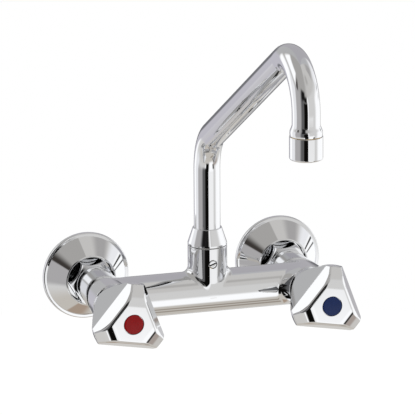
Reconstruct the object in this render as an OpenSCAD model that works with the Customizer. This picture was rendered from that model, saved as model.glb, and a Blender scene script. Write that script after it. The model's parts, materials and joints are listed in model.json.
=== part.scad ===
// Wall-mounted two-handle mixer tap with a swivelling tubular spout.
// Millimetres. +X is to the right, +Z is up and -Y points out from the wall.
// The origin lies on the finished wall, midway between the two supply pipes.

/* [Installation] */
// Distance between the two inlet axes
inlet_centres = 150; // [140:1:170]
// Height of the mixer's axis above the supply pipes
union_offset = 6; // [0:0.5:8]
// Distance from the wall to the axis of the bar and of the spout
bar_out = 68; // [64:1:80]

/* [Wall unions] */
// Diameter of the thread that enters the supply pipe
pipe_thread_d = 20.96; // [20.5:0.02:21.5]
// Length of the thread behind the wall
pipe_thread_len = 14; // [8:1:25]
// Diameter of the thread that carries the union nut
nut_thread_d = 26.44; // [25.5:0.02:27.5]
// Distance from the wall to the face that the washer seals on
union_len = 20; // [18:0.5:30]
// Thickness of the cranked plate that lies on the wall
crank_t = 6; // [4:0.5:7]
// Water bore towards the pipe
pipe_bore_d = 13; // [10:0.5:15]
// Water bore towards the mixer
union_bore_d = 16; // [12:0.5:18]
// Metal that the cranked plate keeps over the end of each bore
crank_skin = 1.5; // [1:0.1:1.8]

/* [Wall flanges] */
// Diameter of the flange on the wall
flange_d = 66; // [60:1:75]
// Height of the flange from the wall to its mouth
flange_h = 17.6; // [15:0.2:22]
// Thickness of the flange's metal
flange_wall = 1.2; // [0.8:0.1:1.6]
// Width of the flat lip round the flange
lip_w = 2.6; // [1.5:0.1:4]
// Height of the lip
lip_h = 2.9; // [2:0.1:4]
// Thickness of the threaded web that holds the flange on the union
flange_web_t = 2.5; // [1.5:0.1:3]
// Space between the nut's corners and the flange's mouth
mouth_gap = 0.6; // [0.4:0.1:1.5]

/* [Union nuts and nipples] */
// Width of the nut across its flats
nut_af = 30; // [29:0.5:34]
// Length of the nut
nut_len = 16; // [12:0.5:17]
// Thickness of the nut's inner shoulder
shoulder_t = 2.4; // [1.5:0.1:3]
// Chamfer of the nut's corners
nut_chamfer = 1.1; // [0.5:0.1:2]
// Thickness of the inlet washer
washer_t = 2; // [1:0.5:3]
// Hole in the inlet washer
washer_hole_d = 15; // [12:0.5:18]
// Diameter of the nipple's collar
collar_d = 24; // [22:0.5:25]
// Thickness of the nipple's collar
collar_t = 3.5; // [2.5:0.1:5]
// Diameter of the nipple's thread in the body
nipple_d = 20; // [18:0.5:20.5]
// Length of the nipple's thread in the body
nipple_len = 11; // [8:0.5:13]
// Hexagon socket in the nipple
nipple_key_af = 12; // [10:0.5:13]

/* [Body casting] */
// Diameter of the bar between the two valves
bar_d = 31; // [28:0.5:33]
// Water bore of the bar
bar_bore_d = 14; // [10:0.5:16]
// Diameter of a valve arm at its back
arm_back_d = 27.5; // [25:0.5:30]
// Diameter of a valve arm at its front
arm_front_d = 34; // [32:0.5:38]
// Distance from the bar's axis to the front of the arms
arm_over = 17; // [16:0.5:22]
// Diameter of the valve chamber
chamber_d = 23.2; // [22:0.2:24]
// Bore of the valve seat
seat_bore_d = 13; // [11:0.5:14]
// Distance of the valve seat behind the bar's axis
seat_behind = 16; // [15:0.5:18]
// Height of the raised lip of the valve seat
seat_lip_h = 1.5; // [1:0.1:2]
// Width of the raised lip of the valve seat
seat_lip_w = 1.2; // [0.8:0.1:1.8]
// Diameter of the socket that holds the spout
socket_d = 29; // [28:0.5:31]
// Height of the socket's rim above the bar's axis
socket_top = 35.6; // [34:0.2:44]
// Bore of the spout socket
socket_bore_d = 22.2; // [21.6:0.2:23]
// Height of the socket's floor above the bar's axis
socket_floor = 12; // [11:0.5:13]
// Diameter of the water port between the bar and the socket
port_d = 12; // [9:0.5:14]

/* [Headworks] */
// Diameter of the thread that holds a bonnet in the body
bonnet_thread_d = 20.96; // [20.5:0.02:21.5]
// Length of the bonnet's thread
bonnet_thread_len = 8; // [6:0.5:9]
// Diameter of the bonnet's flange
bonnet_flange_d = 26; // [24.5:0.5:28]
// Thickness of the bonnet's flange
bonnet_flange_t = 2; // [1.5:0.1:3]
// Width of the bonnet's spanner hexagon
bonnet_af = 22; // [19:0.5:24]
// Length of the bonnet's spanner hexagon
bonnet_hex_len = 6; // [4:0.5:7]
// Diameter of the bonnet's neck
bonnet_neck_d = 15; // [12:0.5:17]
// Length of the bonnet's neck
bonnet_neck_len = 4; // [3:0.5:6]
// Diameter of the bonnet's nose in the valve chamber
nose_d = 18.4; // [17:0.2:19.4]
// Thickness of the bonnet gasket
gasket_t = 1.2; // [0.8:0.1:2]
// Distance of the open piston behind the bonnet's thread
piston_set_back = 1.5; // [1:0.1:3]
// Width of the piston's hexagon
piston_af = 12; // [11:0.2:13]
// Diameter of the piston's disc
piston_disc_d = 16.6; // [15.6:0.2:18]
// Thickness of the piston's disc
piston_disc_t = 2.5; // [2:0.1:4]
// Travel of the piston from closed to open
valve_lift = 5; // [3:0.5:6]
// Thickness of the seat washer
seat_washer_t = 3; // [2:0.5:4]
// Diameter of the seat washer
seat_washer_d = 16; // [15.5:0.5:17]
// Diameter of the washer screw
washer_screw_d = 3; // [2:0.5:4]
// Length of the washer screw inside the piston
washer_screw_grip = 2.6; // [2:0.1:2.6]
// Diameter of the spindle's screw thread
lead_screw_d = 7; // [6:0.5:8]
// Length of the screw thread inside the closed piston
lead_grip = 6; // [4:0.5:6]
// Diameter of the spindle in its seals
spindle_d = 9; // [8.4:0.2:9.6]
// Thickness of the spindle's thrust collar
thrust_t = 2; // [1.5:0.1:2.4]
// Section of the spindle's rings
spindle_ring_t = 1.24; // [1:0.02:1.3]
// Thickness of the spindle clip
clip_t = 0.8; // [0.6:0.1:1]
// Length of the round shank between the clip and the spline
shank_len = 1.5; // [1:0.1:3]
// Length of the splined head of the spindle
spline_len = 13; // [10:0.5:14]
// Diameter over the teeth of the spline
spline_d = 8.2; // [7.6:0.1:8.4]
// Number of teeth on the spline
spline_teeth = 20; // [16:2:24]

/* [Handles] */
// Length of a handle along its axis
handle_len = 48.7; // [46:0.1:55]
// Diameter of the handle's neck beside the body
handle_neck_d = 34; // [33:0.5:38]
// Radius of the handle at the tips of its arms
handle_r = 28.5; // [27:0.5:32]
// Distance of each side facet from the handle's axis
facet_r = 19.4; // [18.6:0.2:21]
// Depth of the slanted facets behind the face
slant_depth = 10; // [7:0.5:11]
// Slope of the slanted facets
slant_angle = 28; // [20:1:30]
// Distance of the creases from the handle's axis
crease_r = 15.6; // [14:0.2:17]
// Slope of an arm's face where it leaves the crease
sweep_steep = 62; // [50:1:65]
// Slope of an arm's face at its tip
sweep_flat = 29; // [20:1:32]
// Radius of the hollow curve in an arm's face
sweep_r = 9; // [6:0.5:11]
// Turn of the handle clockwise from upright, as seen from the front
handle_turn = 10; // [0:1:60]
// Diameter of the handle's hollow round the bonnet
hollow_d = 29; // [28.5:0.1:30]
// Diameter of the hub round the spline
hub_d = 15; // [13:0.5:17]
// Widening of the hollow round the hub
hollow_draft = 1.5; // [0:0.1:2]
// Metal under the head of the handle screw
hub_floor_t = 3; // [2:0.5:4]
// Diameter of the handle screw
handle_screw_d = 5; // [4:0.5:5]
// Length of the handle screw inside the spindle
handle_screw_grip = 8; // [6:0.5:9]
// Diameter of the handle screw's head
screw_head_d = 9; // [7.5:0.5:9.5]
// Height of the handle screw's head
screw_head_h = 3.5; // [2.5:0.5:4]
// Diameter of the index button
button_d = 13.5; // [12:0.1:14.5]
// Depth of the button's recess
button_depth = 3.6; // [2.5:0.1:4]
// Height of the button's dome above the face
button_dome = 1; // [0.4:0.1:1.6]
// Diameter of the button's spigot
spigot_d = 9.8; // [9.6:0.1:10.4]
// Length of the button's spigot
spigot_len = 4; // [2:0.5:5]

/* [Spout] */
// Outside diameter of the spout's tube
tube_d = 19.5; // [18:0.5:20]
// Wall of the spout's tube
tube_wall = 1; // [0.8:0.1:1.2]
// Height above the bar's axis where riser and rising arm would meet
riser_h = 114; // [95:1:160]
// Slope of the rising arm above level
rise_angle = 29; // [15:1:40]
// Distance from the riser's axis to the outlet's axis
reach = 236; // [180:1:300]
// Centre-line radius of the lower bend
low_bend_r = 36; // [30:1:45]
// Centre-line radius of the upper bend
high_bend_r = 32; // [28:1:40]
// Height of the tube's end above the bar's axis
tube_end_h = 176.6; // [150:0.2:185]
// Diameter of the tube's flared end
flare_d = 22.6; // [21.4:0.2:23.2]
// Length of the flare with its straight end
flare_len = 8; // [6:0.5:12]
// Length of the flare's straight end
flare_lip = 2.4; // [1:0.2:4]
// Height of the cone collar
cone_h = 12.9; // [10:0.1:16]
// Diameter of the cone collar at its top
cone_top_d = 21.5; // [21:0.1:23]
// Thickness of the slide ring under the collar
slide_ring_t = 0.5; // [0.4:0.1:1]
// Diameter of the nipple in the socket
spout_nipple_d = 22; // [21.4:0.1:22.1]
// Length of the nipple inside the tube
nipple_grip = 12; // [8:0.5:16]
// Wall of the nipple inside the tube
nipple_wall = 1.7; // [1.2:0.1:2]
// Section of the spout's seal rings
spout_ring_t = 1.84; // [1.5:0.02:1.9]
// Diameter of the retaining screw
stop_screw_d = 5.9; // [5:0.1:6.5]
// Height of the retaining screw above the bar's axis
stop_screw_h = 24.1; // [23:0.1:25]
// Diameter of the screw's pointed end
stop_tip_d = 3.4; // [2.5:0.1:3.6]
// Depth of the groove round the nipple for the screw's end
stop_groove_depth = 2.1; // [1.8:0.1:2.4]

/* [Aerator] */
// Diameter of the aerator's housing
aerator_d = 23.2; // [22.8:0.2:26]
// Length of the aerator's housing
aerator_len = 16.2; // [14.2:0.2:22]
// Radius of the aerator's lower edge
aerator_round = 2.8; // [1:0.2:2.8]
// Diameter of the thread between outlet ring and aerator
aerator_thread_d = 21.2; // [20.6:0.2:21.4]
// Length of the aerator's thread
aerator_thread_len = 8; // [6:0.5:8.5]
// Diameter of one hole in the outlet grid
grid_hole_d = 2; // [1:0.1:2.4]
// Spacing of the holes in the outlet grid
grid_pitch = 2.9; // [2.7:0.1:3]
// Thickness of the flow disc
flow_disc_t = 1.6; // [1:0.1:2]
// Thickness of the aerator gasket
aerator_gasket_t = 1.6; // [1:0.1:2]

/* [Clearances] */
// Radial clearance of threads and pressed pieces
fit_gap = 0.05; // [0.02:0.01:0.08]
// Radial clearance of pieces that turn or slide
run_gap = 0.1; // [0.05:0.01:0.1]
// Space between pieces that move past each other
free_gap = 0.4; // [0.3:0.1:0.8]
// Space left at the end of a blind hole or thread
end_gap = 0.3; // [0.2:0.1:0.5]
// Space round the index button in its recess
button_gap = 0.25; // [0.1:0.05:0.4]

/* [Hidden] */
hot = -1;
cold = 1;
// Allowance by which a cutting shape runs past the face it cuts
past = 1;
// Overlap that joins two shapes of one solid
weld = 0.01;
// Steps in which a curved outline is drawn
arc_steps = 8;
$fn = 72;

// Distances from the wall along a valve's axis
web_back = crank_t + free_gap;
web_front = web_back + flange_web_t;
collar_back = union_len + washer_t;
collar_front = collar_back + collar_t;
nut_front = collar_front + run_gap + shoulder_t;
nut_back = nut_front - nut_len;
arm_back = nut_front + free_gap;
arm_front = bar_out + arm_over;
nipple_end = arm_back + nipple_len;
seat_face = bar_out - seat_behind;
bonnet_thread_back = arm_front - bonnet_thread_len;
chamber_front = bonnet_thread_back - 1;
disc_back = seat_face + seat_washer_t;
disc_front = disc_back + piston_disc_t;
nose_back = disc_front + valve_lift + free_gap;
piston_front = bonnet_thread_back - piston_set_back - valve_lift;
guide_front = piston_front + valve_lift + free_gap;
thrust_back = guide_front + free_gap;
thrust_front = thrust_back + thrust_t;
flange_back = arm_front + gasket_t;
flange_front = flange_back + bonnet_flange_t;
hex_front = flange_front + bonnet_hex_len;
neck_front = hex_front + bonnet_neck_len;
clip_back = neck_front + run_gap;
spline_back = clip_back + clip_t + shank_len;
spline_front = spline_back + spline_len;
handle_back = arm_front + 1.5 * free_gap;
handle_front = handle_back + handle_len;
hub_back = clip_back + clip_t + free_gap;
head_seat = spline_front + free_gap + hub_floor_t;
recess_floor = handle_front - button_depth;

// Radii derived from their mating pieces
nut_corner_r = nut_af / 2 / cos(30);
mouth_r = nut_corner_r + mouth_gap;
web_bore_r = nut_thread_d / 2 + fit_gap;
shoulder_bore_r = nipple_d / 2 + end_gap;
guide_af = piston_af + 2 * run_gap;
lead_bore_r = lead_screw_d / 2 + run_gap;
spindle_bore_r = spindle_d / 2 + run_gap;
// Space on each side of a seal ring's section
ring_gap = 0.02;
thrust_r = piston_af / 2;
ring_seat_r = spindle_bore_r - spindle_ring_t - 2 * ring_gap;
spline_root_r = spline_d / 2 - 0.5;
clip_seat_r = spindle_d / 2 - 0.9;
handle_tip_h = handle_front - slant_depth;

// Spout geometry in the plane of its bends
tube_r = tube_d / 2;
tube_bore_r = tube_r - tube_wall;
low_turn = 90 - rise_angle;
high_turn = 90 + rise_angle;
low_run = low_bend_r * tan(low_turn / 2);
high_run = high_bend_r * tan(high_turn / 2);
top_h = riser_h + reach * tan(rise_angle);
// Sides of the tube's section and the turn between its rings
tube_sides = 28;
bend_step = 7.5;
// Share of a radius that stays clear inside the tube's sides
side_share = cos(180 / tube_sides);
// Depth of the outlet ring's seat in the flared end
ring_seat_h = 3;
collar_foot = socket_top + slide_ring_t;
nipple_flange_t = 2;
nipple_flange_r = spout_nipple_d / 2 + 1.3;
tube_foot = collar_foot + nipple_flange_t;
cone_foot_h = 1.5;
nipple_foot = socket_floor + free_gap;
nipple_bore_r = tube_bore_r - nipple_wall;
spout_ring_seat_r = socket_bore_d / 2 - spout_ring_t - 2 * ring_gap;
spout_groove_w = spout_ring_t + free_gap;
stop_groove_w = stop_tip_d + 2 * free_gap;
stop_groove_r = spout_nipple_d / 2 - stop_groove_depth;

// Heights of the aerator's pieces above the bar's axis
aerator_top = tube_end_h - free_gap;
aerator_foot = aerator_top - aerator_len;
outlet_ring_foot = tube_end_h - aerator_thread_len;
aerator_lip_t = 1.5;
grid_foot = aerator_foot + aerator_lip_t;
gasket_foot = outlet_ring_foot - aerator_gasket_t;
flow_disc_foot = gasket_foot - flow_disc_t;
insert_r = aerator_thread_d / 2 - 0.9;
lip_r = insert_r - 1.2;

// Finishes
chrome = [0.80, 0.81, 0.83];
brass = [0.80, 0.66, 0.36];
steel = [0.62, 0.63, 0.65];
black_rubber = [0.12, 0.12, 0.12];
red_fibre = [0.55, 0.16, 0.12];
white_plastic = [0.90, 0.90, 0.88];
hot_red = [0.62, 0.07, 0.06];
cold_blue = [0.10, 0.16, 0.38];

// Lays a piece drawn along +Z on a valve's axis, with +Z leading out from the wall.
module on_valve_axis(side) {
    translate([side * inlet_centres / 2, 0, union_offset])
        rotate([90, 0, 0])
            children();
}

// Lays a piece drawn along +Z on the spout's axis, with z = 0 on the bar's axis.
module on_spout_axis() {
    translate([0, -bar_out, union_offset])
        children();
}

// Lays a piece drawn along +Z on the outlet's axis.
module on_outlet_axis() {
    translate([0, -reach, 0])
        children();
}

// A ring between two radii, from one height to another.
module ring(outer_r, inner_r, from, to) {
    translate([0, 0, from])
        difference() {
            cylinder(h = to - from, r = outer_r);
            translate([0, 0, -past])
                cylinder(h = to - from + 2 * past, r = inner_r);
        }
}

// A straight rod or bore from one height to another.
module rod(r, from, to) {
    translate([0, 0, from])
        cylinder(h = to - from, r = r);
}

// A hexagonal rod or bore, measured across its flats.
module hexagon(af, from, to) {
    translate([0, 0, from])
        cylinder(h = to - from, r = af / 2 / cos(30), $fn = 6);
}

// A ring of round section about the axis.
module seal(seat_r, section, height) {
    translate([0, 0, height])
        rotate_extrude()
            translate([seat_r + section / 2, 0])
                circle(d = section, $fn = 24);
}

// Points of an arc about a centre, from one angle to another.
function arc(centre, r, from, to) = [
    for (i = [0 : arc_steps])
        let (a = from + (to - from) * i / arc_steps)
            [centre[0] + r * cos(a), centre[1] + r * sin(a)]
];

// Outline of a splined shaft with its teeth as points of a star.
function spline_outline(tip_r, root_r) = [
    for (i = [0 : 2 * spline_teeth - 1])
        let (a = 180 * i / spline_teeth, r = i % 2 == 0 ? tip_r : root_r)
            [r * cos(a), r * sin(a)]
];

// Cranked union: pipe thread, plate on the wall, nut thread on the raised axis.
module wall_union(side) {
    nut_thread_r = nut_thread_d / 2;
    plate_r = nut_thread_r - 1;
    color(chrome)
        on_valve_axis(side)
            difference() {
                union() {
                    translate([0, -union_offset, 0])
                        rod(pipe_thread_d / 2, -pipe_thread_len, crank_t);
                    rod(nut_thread_r, 0, union_len);
                    translate([0, -union_offset, 0])
                        rod(plate_r, 0, crank_t);
                    translate([-plate_r, -union_offset, 0])
                        cube([2 * plate_r, union_offset + weld, crank_t]);
                }
                translate([0, -union_offset, 0])
                    rod(pipe_bore_d / 2, -pipe_thread_len - past, crank_t - crank_skin);
                rod(union_bore_d / 2, crank_skin, union_len + past);
            }
}

// Spun flange with a lip on the wall, a cone and an inward cup for the nut.
module wall_flange(side) {
    rim_r = flange_d / 2;
    cone_r = rim_r - lip_w;
    lip_round = 1.2;
    // Height of the step between lip and cone, and half the width of the mouth's roll
    step_h = 0.2;
    roll = 0.7;
    color(chrome)
        on_valve_axis(side)
            rotate_extrude()
                polygon(concat(
                    [[rim_r, 0]],
                    arc([rim_r - lip_round, lip_h - lip_round], lip_round, 0, 90),
                    [[cone_r, lip_h + step_h],
                     [mouth_r + 2 * roll, flange_h - roll / 2],
                     [mouth_r + roll, flange_h],
                     [mouth_r, flange_h - roll / 2],
                     [mouth_r, web_front],
                     [web_bore_r, web_front],
                     [web_bore_r, web_back],
                     [mouth_r + flange_wall, web_back],
                     [mouth_r + flange_wall, flange_h - flange_wall - roll],
                     [cone_r - flange_wall, lip_h - flange_wall + step_h],
                     [rim_r - flange_wall, lip_h - flange_wall],
                     [rim_r - flange_wall, 0]]));
}

// Hexagon nut with chamfered corners and a shoulder that draws the nipple in.
module union_nut(side) {
    color(chrome)
        on_valve_axis(side)
            difference() {
                intersection() {
                    hexagon(nut_af, nut_back, nut_front);
                    rotate_extrude()
                        polygon([
                            [0, nut_back],
                            [nut_corner_r - nut_chamfer, nut_back],
                            [nut_corner_r, nut_back + nut_chamfer],
                            [nut_corner_r, nut_front - nut_chamfer],
                            [nut_corner_r - nut_chamfer, nut_front],
                            [0, nut_front]]);
                }
                rod(nut_thread_d / 2 + fit_gap, nut_back - past, nut_front - shoulder_t);
                rod(shoulder_bore_r, nut_back, nut_front + past);
            }
}

// Flat washer between the union's face and the nipple's collar.
module inlet_washer(side) {
    color(red_fibre)
        on_valve_axis(side)
            ring(collar_d / 2, washer_hole_d / 2, union_len, collar_back);
}

// Nipple that is screwed into the body and carries the nut behind its collar.
module inlet_nipple(side) {
    color(brass)
        on_valve_axis(side)
            difference() {
                union() {
                    rod(collar_d / 2, collar_back, collar_front);
                    rod(nipple_d / 2, collar_front, nipple_end);
                }
                hexagon(nipple_key_af, collar_back - past, nipple_end + past);
            }
}

// One valve arm of the casting, solid.
module arm_shape() {
    arm_back_r = arm_back_d / 2;
    arm_front_r = arm_front_d / 2;
    edge = 0.8;
    rotate_extrude()
        polygon(concat(
            [[0, arm_back], [arm_back_r - edge, arm_back]],
            arc([arm_back_r - edge, arm_back + edge], edge, -90, 0),
            [[arm_front_r, arm_front - edge],
             [arm_front_r - edge, arm_front],
             [0, arm_front]]));
}

// The water spaces of one valve arm.
module arm_bores() {
    seat_r = seat_bore_d / 2;
    rod(nipple_d / 2 + fit_gap, arm_back - past, nipple_end + end_gap);
    rod(seat_r, nipple_end, seat_face + past);
    difference() {
        rod(chamber_d / 2, seat_face - seat_lip_h, chamber_front);
        rod(seat_r + seat_lip_w, seat_face - seat_lip_h, seat_face);
    }
    rod(bonnet_thread_d / 2 + fit_gap, chamber_front, arm_front + past);
}

// One brass casting: two valve arms, the bar between them and the spout's socket.
module mixer_body() {
    half_bar = inlet_centres / 2;
    color(chrome)
        difference() {
            union() {
                for (side = [hot, cold])
                    on_valve_axis(side)
                        arm_shape();
                on_spout_axis() {
                    translate([-half_bar, 0, 0])
                        rotate([0, 90, 0])
                            cylinder(h = inlet_centres, d = bar_d);
                    rod(socket_d / 2, 0, socket_top);
                }
            }
            for (side = [hot, cold])
                on_valve_axis(side)
                    arm_bores();
            on_spout_axis() {
                translate([-half_bar, 0, 0])
                    rotate([0, 90, 0])
                        cylinder(h = inlet_centres, d = bar_bore_d);
                rod(port_d / 2, 0, socket_floor + past);
                rod(socket_bore_d / 2, socket_floor, socket_top + past);
                translate([0, -socket_bore_d / 2 + past, stop_screw_h])
                    rotate([90, 0, 0])
                        cylinder(h = socket_d, d = stop_screw_d + 2 * fit_gap);
            }
        }
}

// Brass headwork that screws into the arm and guides the spindle and piston.
module bonnet(side) {
    color(brass)
        on_valve_axis(side)
            difference() {
                union() {
                    rod(nose_d / 2, nose_back, bonnet_thread_back);
                    rod(bonnet_thread_d / 2, bonnet_thread_back, flange_back);
                    rod(bonnet_flange_d / 2, flange_back, flange_front);
                    hexagon(bonnet_af, flange_front, hex_front);
                    rod(bonnet_neck_d / 2, hex_front, neck_front);
                }
                hexagon(guide_af, nose_back - past, guide_front);
                rod(thrust_r + run_gap, guide_front - weld, thrust_front + run_gap);
                rod(spindle_bore_r, thrust_front, neck_front + past);
            }
}

// Gasket between the arm's front face and the bonnet's flange.
module bonnet_gasket(side) {
    color(red_fibre)
        on_valve_axis(side)
            ring(bonnet_flange_d / 2, bonnet_thread_d / 2 + fit_gap, arm_front, flange_back);
}

// Heights of the two seal grooves of the spindle.
ring_heights = [flange_back + spindle_ring_t, hex_front - spindle_ring_t / 2];

// Spindle: screw thread, thrust collar, seal grooves and splined head.
module spindle(side) {
    groove = spindle_ring_t + end_gap;
    color(brass)
        on_valve_axis(side)
            difference() {
                union() {
                    rod(lead_screw_d / 2, piston_front - lead_grip, thrust_back + weld);
                    rod(thrust_r, thrust_back, thrust_front);
                    rod(spindle_d / 2, thrust_front, spline_back);
                    translate([0, 0, spline_back])
                        linear_extrude(height = spline_len)
                            polygon(spline_outline(spline_d / 2, spline_root_r));
                }
                for (h = ring_heights)
                    ring(spindle_d, ring_seat_r, h - groove / 2, h + groove / 2);
                ring(spindle_d, clip_seat_r, clip_back, clip_back + clip_t + run_gap);
                rod(handle_screw_d / 2 + fit_gap,
                    spline_front - handle_screw_grip - end_gap, spline_front + past);
            }
}

// The two seal rings of the spindle.
module spindle_rings(side) {
    color(black_rubber)
        on_valve_axis(side)
            for (h = ring_heights)
                seal(ring_seat_r + ring_gap, spindle_ring_t, h);
}

// Open spring clip that holds the spindle in the bonnet.
module spindle_clip(side) {
    opening = 1.6 * clip_seat_r;
    clip_w = 1.5;
    color(steel)
        on_valve_axis(side)
            difference() {
                ring(spindle_d / 2 + clip_w, clip_seat_r + fit_gap, clip_back, clip_back + clip_t);
                translate([-opening / 2, 0, clip_back - past])
                    cube([opening, spindle_d, clip_t + 2 * past]);
            }
}

// Piston that slides in the bonnet and follows the spindle's thread.
module valve_piston(side) {
    color(brass)
        on_valve_axis(side)
            difference() {
                union() {
                    rod(piston_disc_d / 2, disc_back, disc_front);
                    hexagon(piston_af, disc_front, piston_front);
                }
                rod(lead_bore_r, piston_front - lead_grip - valve_lift - free_gap, piston_front + past);
                rod(washer_screw_d / 2 + fit_gap, disc_back - past,
                    disc_back + washer_screw_grip + end_gap);
            }
}

// Soft washer that the piston presses on the valve seat.
module seat_washer(side) {
    color(black_rubber)
        on_valve_axis(side)
            ring(seat_washer_d / 2, washer_screw_d / 2 + fit_gap, seat_face, disc_back);
}

// Slotted screw that holds the seat washer on the piston.
module washer_screw(side) {
    head_r = washer_screw_d;
    head_h = 1.4;
    slot_w = 0.8;
    slot_depth = 0.7;
    color(steel)
        on_valve_axis(side)
            difference() {
                union() {
                    rod(head_r, seat_face - head_h, seat_face);
                    rod(washer_screw_d / 2, seat_face, disc_back + washer_screw_grip);
                }
                translate([-head_r, -slot_w / 2, seat_face - head_h - past])
                    cube([2 * head_r, slot_w, past + slot_depth]);
            }
}

// Flared blank of the handle, before its facets are cut.
module handle_blank() {
    neck_r = handle_neck_d / 2;
    rim_drop = 2;
    hollow = 0.2;
    flare_h = handle_tip_h - rim_drop - handle_back;
    rotate_extrude($fn = 96)
        polygon(concat(
            [[0, handle_back]],
            [for (i = [0 : arc_steps])
                let (t = i / arc_steps)
                    [neck_r + (handle_r - neck_r) * ((1 - hollow) * t + hollow * t * t),
                     handle_back + flare_h * t]],
            [[handle_r, handle_front], [0, handle_front]]));
}

// Cuts one side facet and the slanted facet in front of it, square to +X.
module facet_cut() {
    slant_top_r = facet_r - (slant_depth + past) * tan(slant_angle);
    rotate([90, 0, 0])
        linear_extrude(height = 4 * handle_r, center = true)
            polygon([
                [facet_r, handle_back - past],
                [facet_r, handle_tip_h],
                [slant_top_r, handle_front + past],
                [2 * handle_r, handle_front + past],
                [2 * handle_r, handle_back - past]]);
}

// Cuts the hollow face of one arm that points along +X.
module sweep_cut() {
    centre = [crease_r + sweep_r * sin(sweep_steep), handle_front + sweep_r * cos(sweep_steep)];
    foot = [centre[0] - sweep_r * sin(sweep_flat), centre[1] - sweep_r * cos(sweep_flat)];
    tip_r = handle_r + past;
    rotate([90, 0, 0])
        linear_extrude(height = 4 * handle_r, center = true)
            polygon(concat(
                arc(centre, sweep_r, 270 - sweep_steep, 270 - sweep_flat),
                [[tip_r, foot[1] - (tip_r - foot[0]) * tan(sweep_flat)],
                 [tip_r, handle_front + 2 * sweep_r],
                 [crease_r, handle_front + 2 * sweep_r]]));
}

// The hollow behind the handle: round the bonnet first, then as a groove round the hub.
module handle_hollow() {
    hollow_r = hollow_d / 2;
    hub_r = hub_d / 2;
    groove_front = spline_front + free_gap;
    rotate_extrude()
        polygon([
            [0, handle_back - past],
            [hollow_r, handle_back - past],
            [hollow_r, hub_back],
            [hollow_r + hollow_draft, groove_front],
            [hub_r, groove_front],
            [hub_r, hub_back],
            [0, hub_back]]);
}

// Three-armed handle with its hollow, spline bore, screw seat and button recess.
module handle(side) {
    first_arm = 90 - handle_turn;
    color(chrome)
        on_valve_axis(side)
            difference() {
                handle_blank();
                for (k = [0 : 2]) {
                    rotate(first_arm + 60 + 120 * k)
                        facet_cut();
                    rotate(first_arm + 120 * k)
                        sweep_cut();
                }
                handle_hollow();
                translate([0, 0, hub_back - past])
                    linear_extrude(height = spline_front + free_gap - hub_back + past)
                        polygon(spline_outline(spline_d / 2 + fit_gap, spline_root_r + fit_gap));
                rod(spindle_d / 2 + run_gap, hub_back - past, spline_back + run_gap);
                rod(handle_screw_d / 2 + end_gap, spline_front, head_seat + past);
                rod(spigot_d / 2 + fit_gap, head_seat, recess_floor + past);
                rod(button_d / 2 + button_gap, recess_floor, handle_front + past);
            }
}

// Slotted screw that draws the handle onto the spindle.
module handle_screw(side) {
    slot_w = 1.2;
    slot_depth = 1.6;
    head_front = head_seat + screw_head_h;
    color(steel)
        on_valve_axis(side)
            difference() {
                union() {
                    rod(screw_head_d / 2, head_seat, head_front);
                    rod(handle_screw_d / 2, spline_front - handle_screw_grip, head_seat);
                }
                translate([-screw_head_d, -slot_w / 2, head_front - slot_depth])
                    cube([2 * screw_head_d, slot_w, slot_depth + past]);
            }
}

// Domed button that shows which water the handle lets through.
module index_button(side) {
    button_r = button_d / 2;
    foot = recess_floor + fit_gap;
    edge = 0.6;
    crown = button_dome / 2;
    shoulder = handle_front + button_dome - crown - edge;
    color(side == hot ? hot_red : cold_blue)
        on_valve_axis(side) {
            rotate_extrude()
                polygon(concat(
                    [[0, foot], [button_r, foot]],
                    arc([button_r - edge, shoulder], edge, 0, 70),
                    [for (i = [0 : arc_steps - 1])
                        let (t = 1 - i / arc_steps, r = (button_r - edge) * t)
                            [r, shoulder + edge + crown * (1 - t * t)]],
                    [[0, shoulder + edge + crown]]));
            rod(spigot_d / 2, foot - spigot_len, foot + weld);
        }
}

// Stations along a bend: reach, height and direction of travel above level.
function bend_stations(centre, r, from, to) =
    let (steps = ceil(abs(to - from) / bend_step))
        [for (i = [0 : steps])
            let (a = from + (to - from) * i / steps)
                [centre[0] - r * sin(a), centre[1] + r * cos(a), a]];

// The spout's centre line from its foot to the start of its flared end.
function spout_line() = concat(
    [[0, tube_foot, 90]],
    bend_stations([low_bend_r, riser_h - low_run], low_bend_r, 90, rise_angle),
    bend_stations([reach - high_bend_r, top_h - high_run], high_bend_r, rise_angle, -90));

// The spout's line with one radius, and then the given heights and radii at its end.
function sheet(r, end_profile) = concat(
    [for (s = spout_line()) [s[0], s[1], s[2], r]],
    [for (e = end_profile) [reach, tube_end_h + e[0], -90, e[1]]]);

// Points of the rings round a list of stations.
function sheet_points(stations) = [
    for (s = stations, j = [0 : tube_sides - 1])
        let (a = 360 * j / tube_sides, side = s[3] * cos(a), rise = s[3] * sin(a))
            [side, rise * sin(s[2]) - s[0], s[1] + rise * cos(s[2])]];

// Triangles between the rings of a sheet whose first point has the given number.
function sheet_faces(rings, first, outward) = [
    for (i = [0 : rings - 2], j = [0 : tube_sides - 1], half = [0, 1])
        let (k = (j + 1) % tube_sides,
             a = first + i * tube_sides + j, b = first + i * tube_sides + k,
             c = a + tube_sides, d = b + tube_sides,
             face = half == 0 ? [a, c, b] : [b, c, d])
            outward ? face : [face[0], face[2], face[1]]];

// Triangles of the flat ring between an outer and an inner edge.
function end_faces(outer, inner, forward) = [
    for (j = [0 : tube_sides - 1], half = [0, 1])
        let (k = (j + 1) % tube_sides,
             face = half == 0 ? [outer + j, outer + k, inner + j]
                              : [outer + k, inner + k, inner + j])
            forward ? face : [face[0], face[2], face[1]]];

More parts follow.
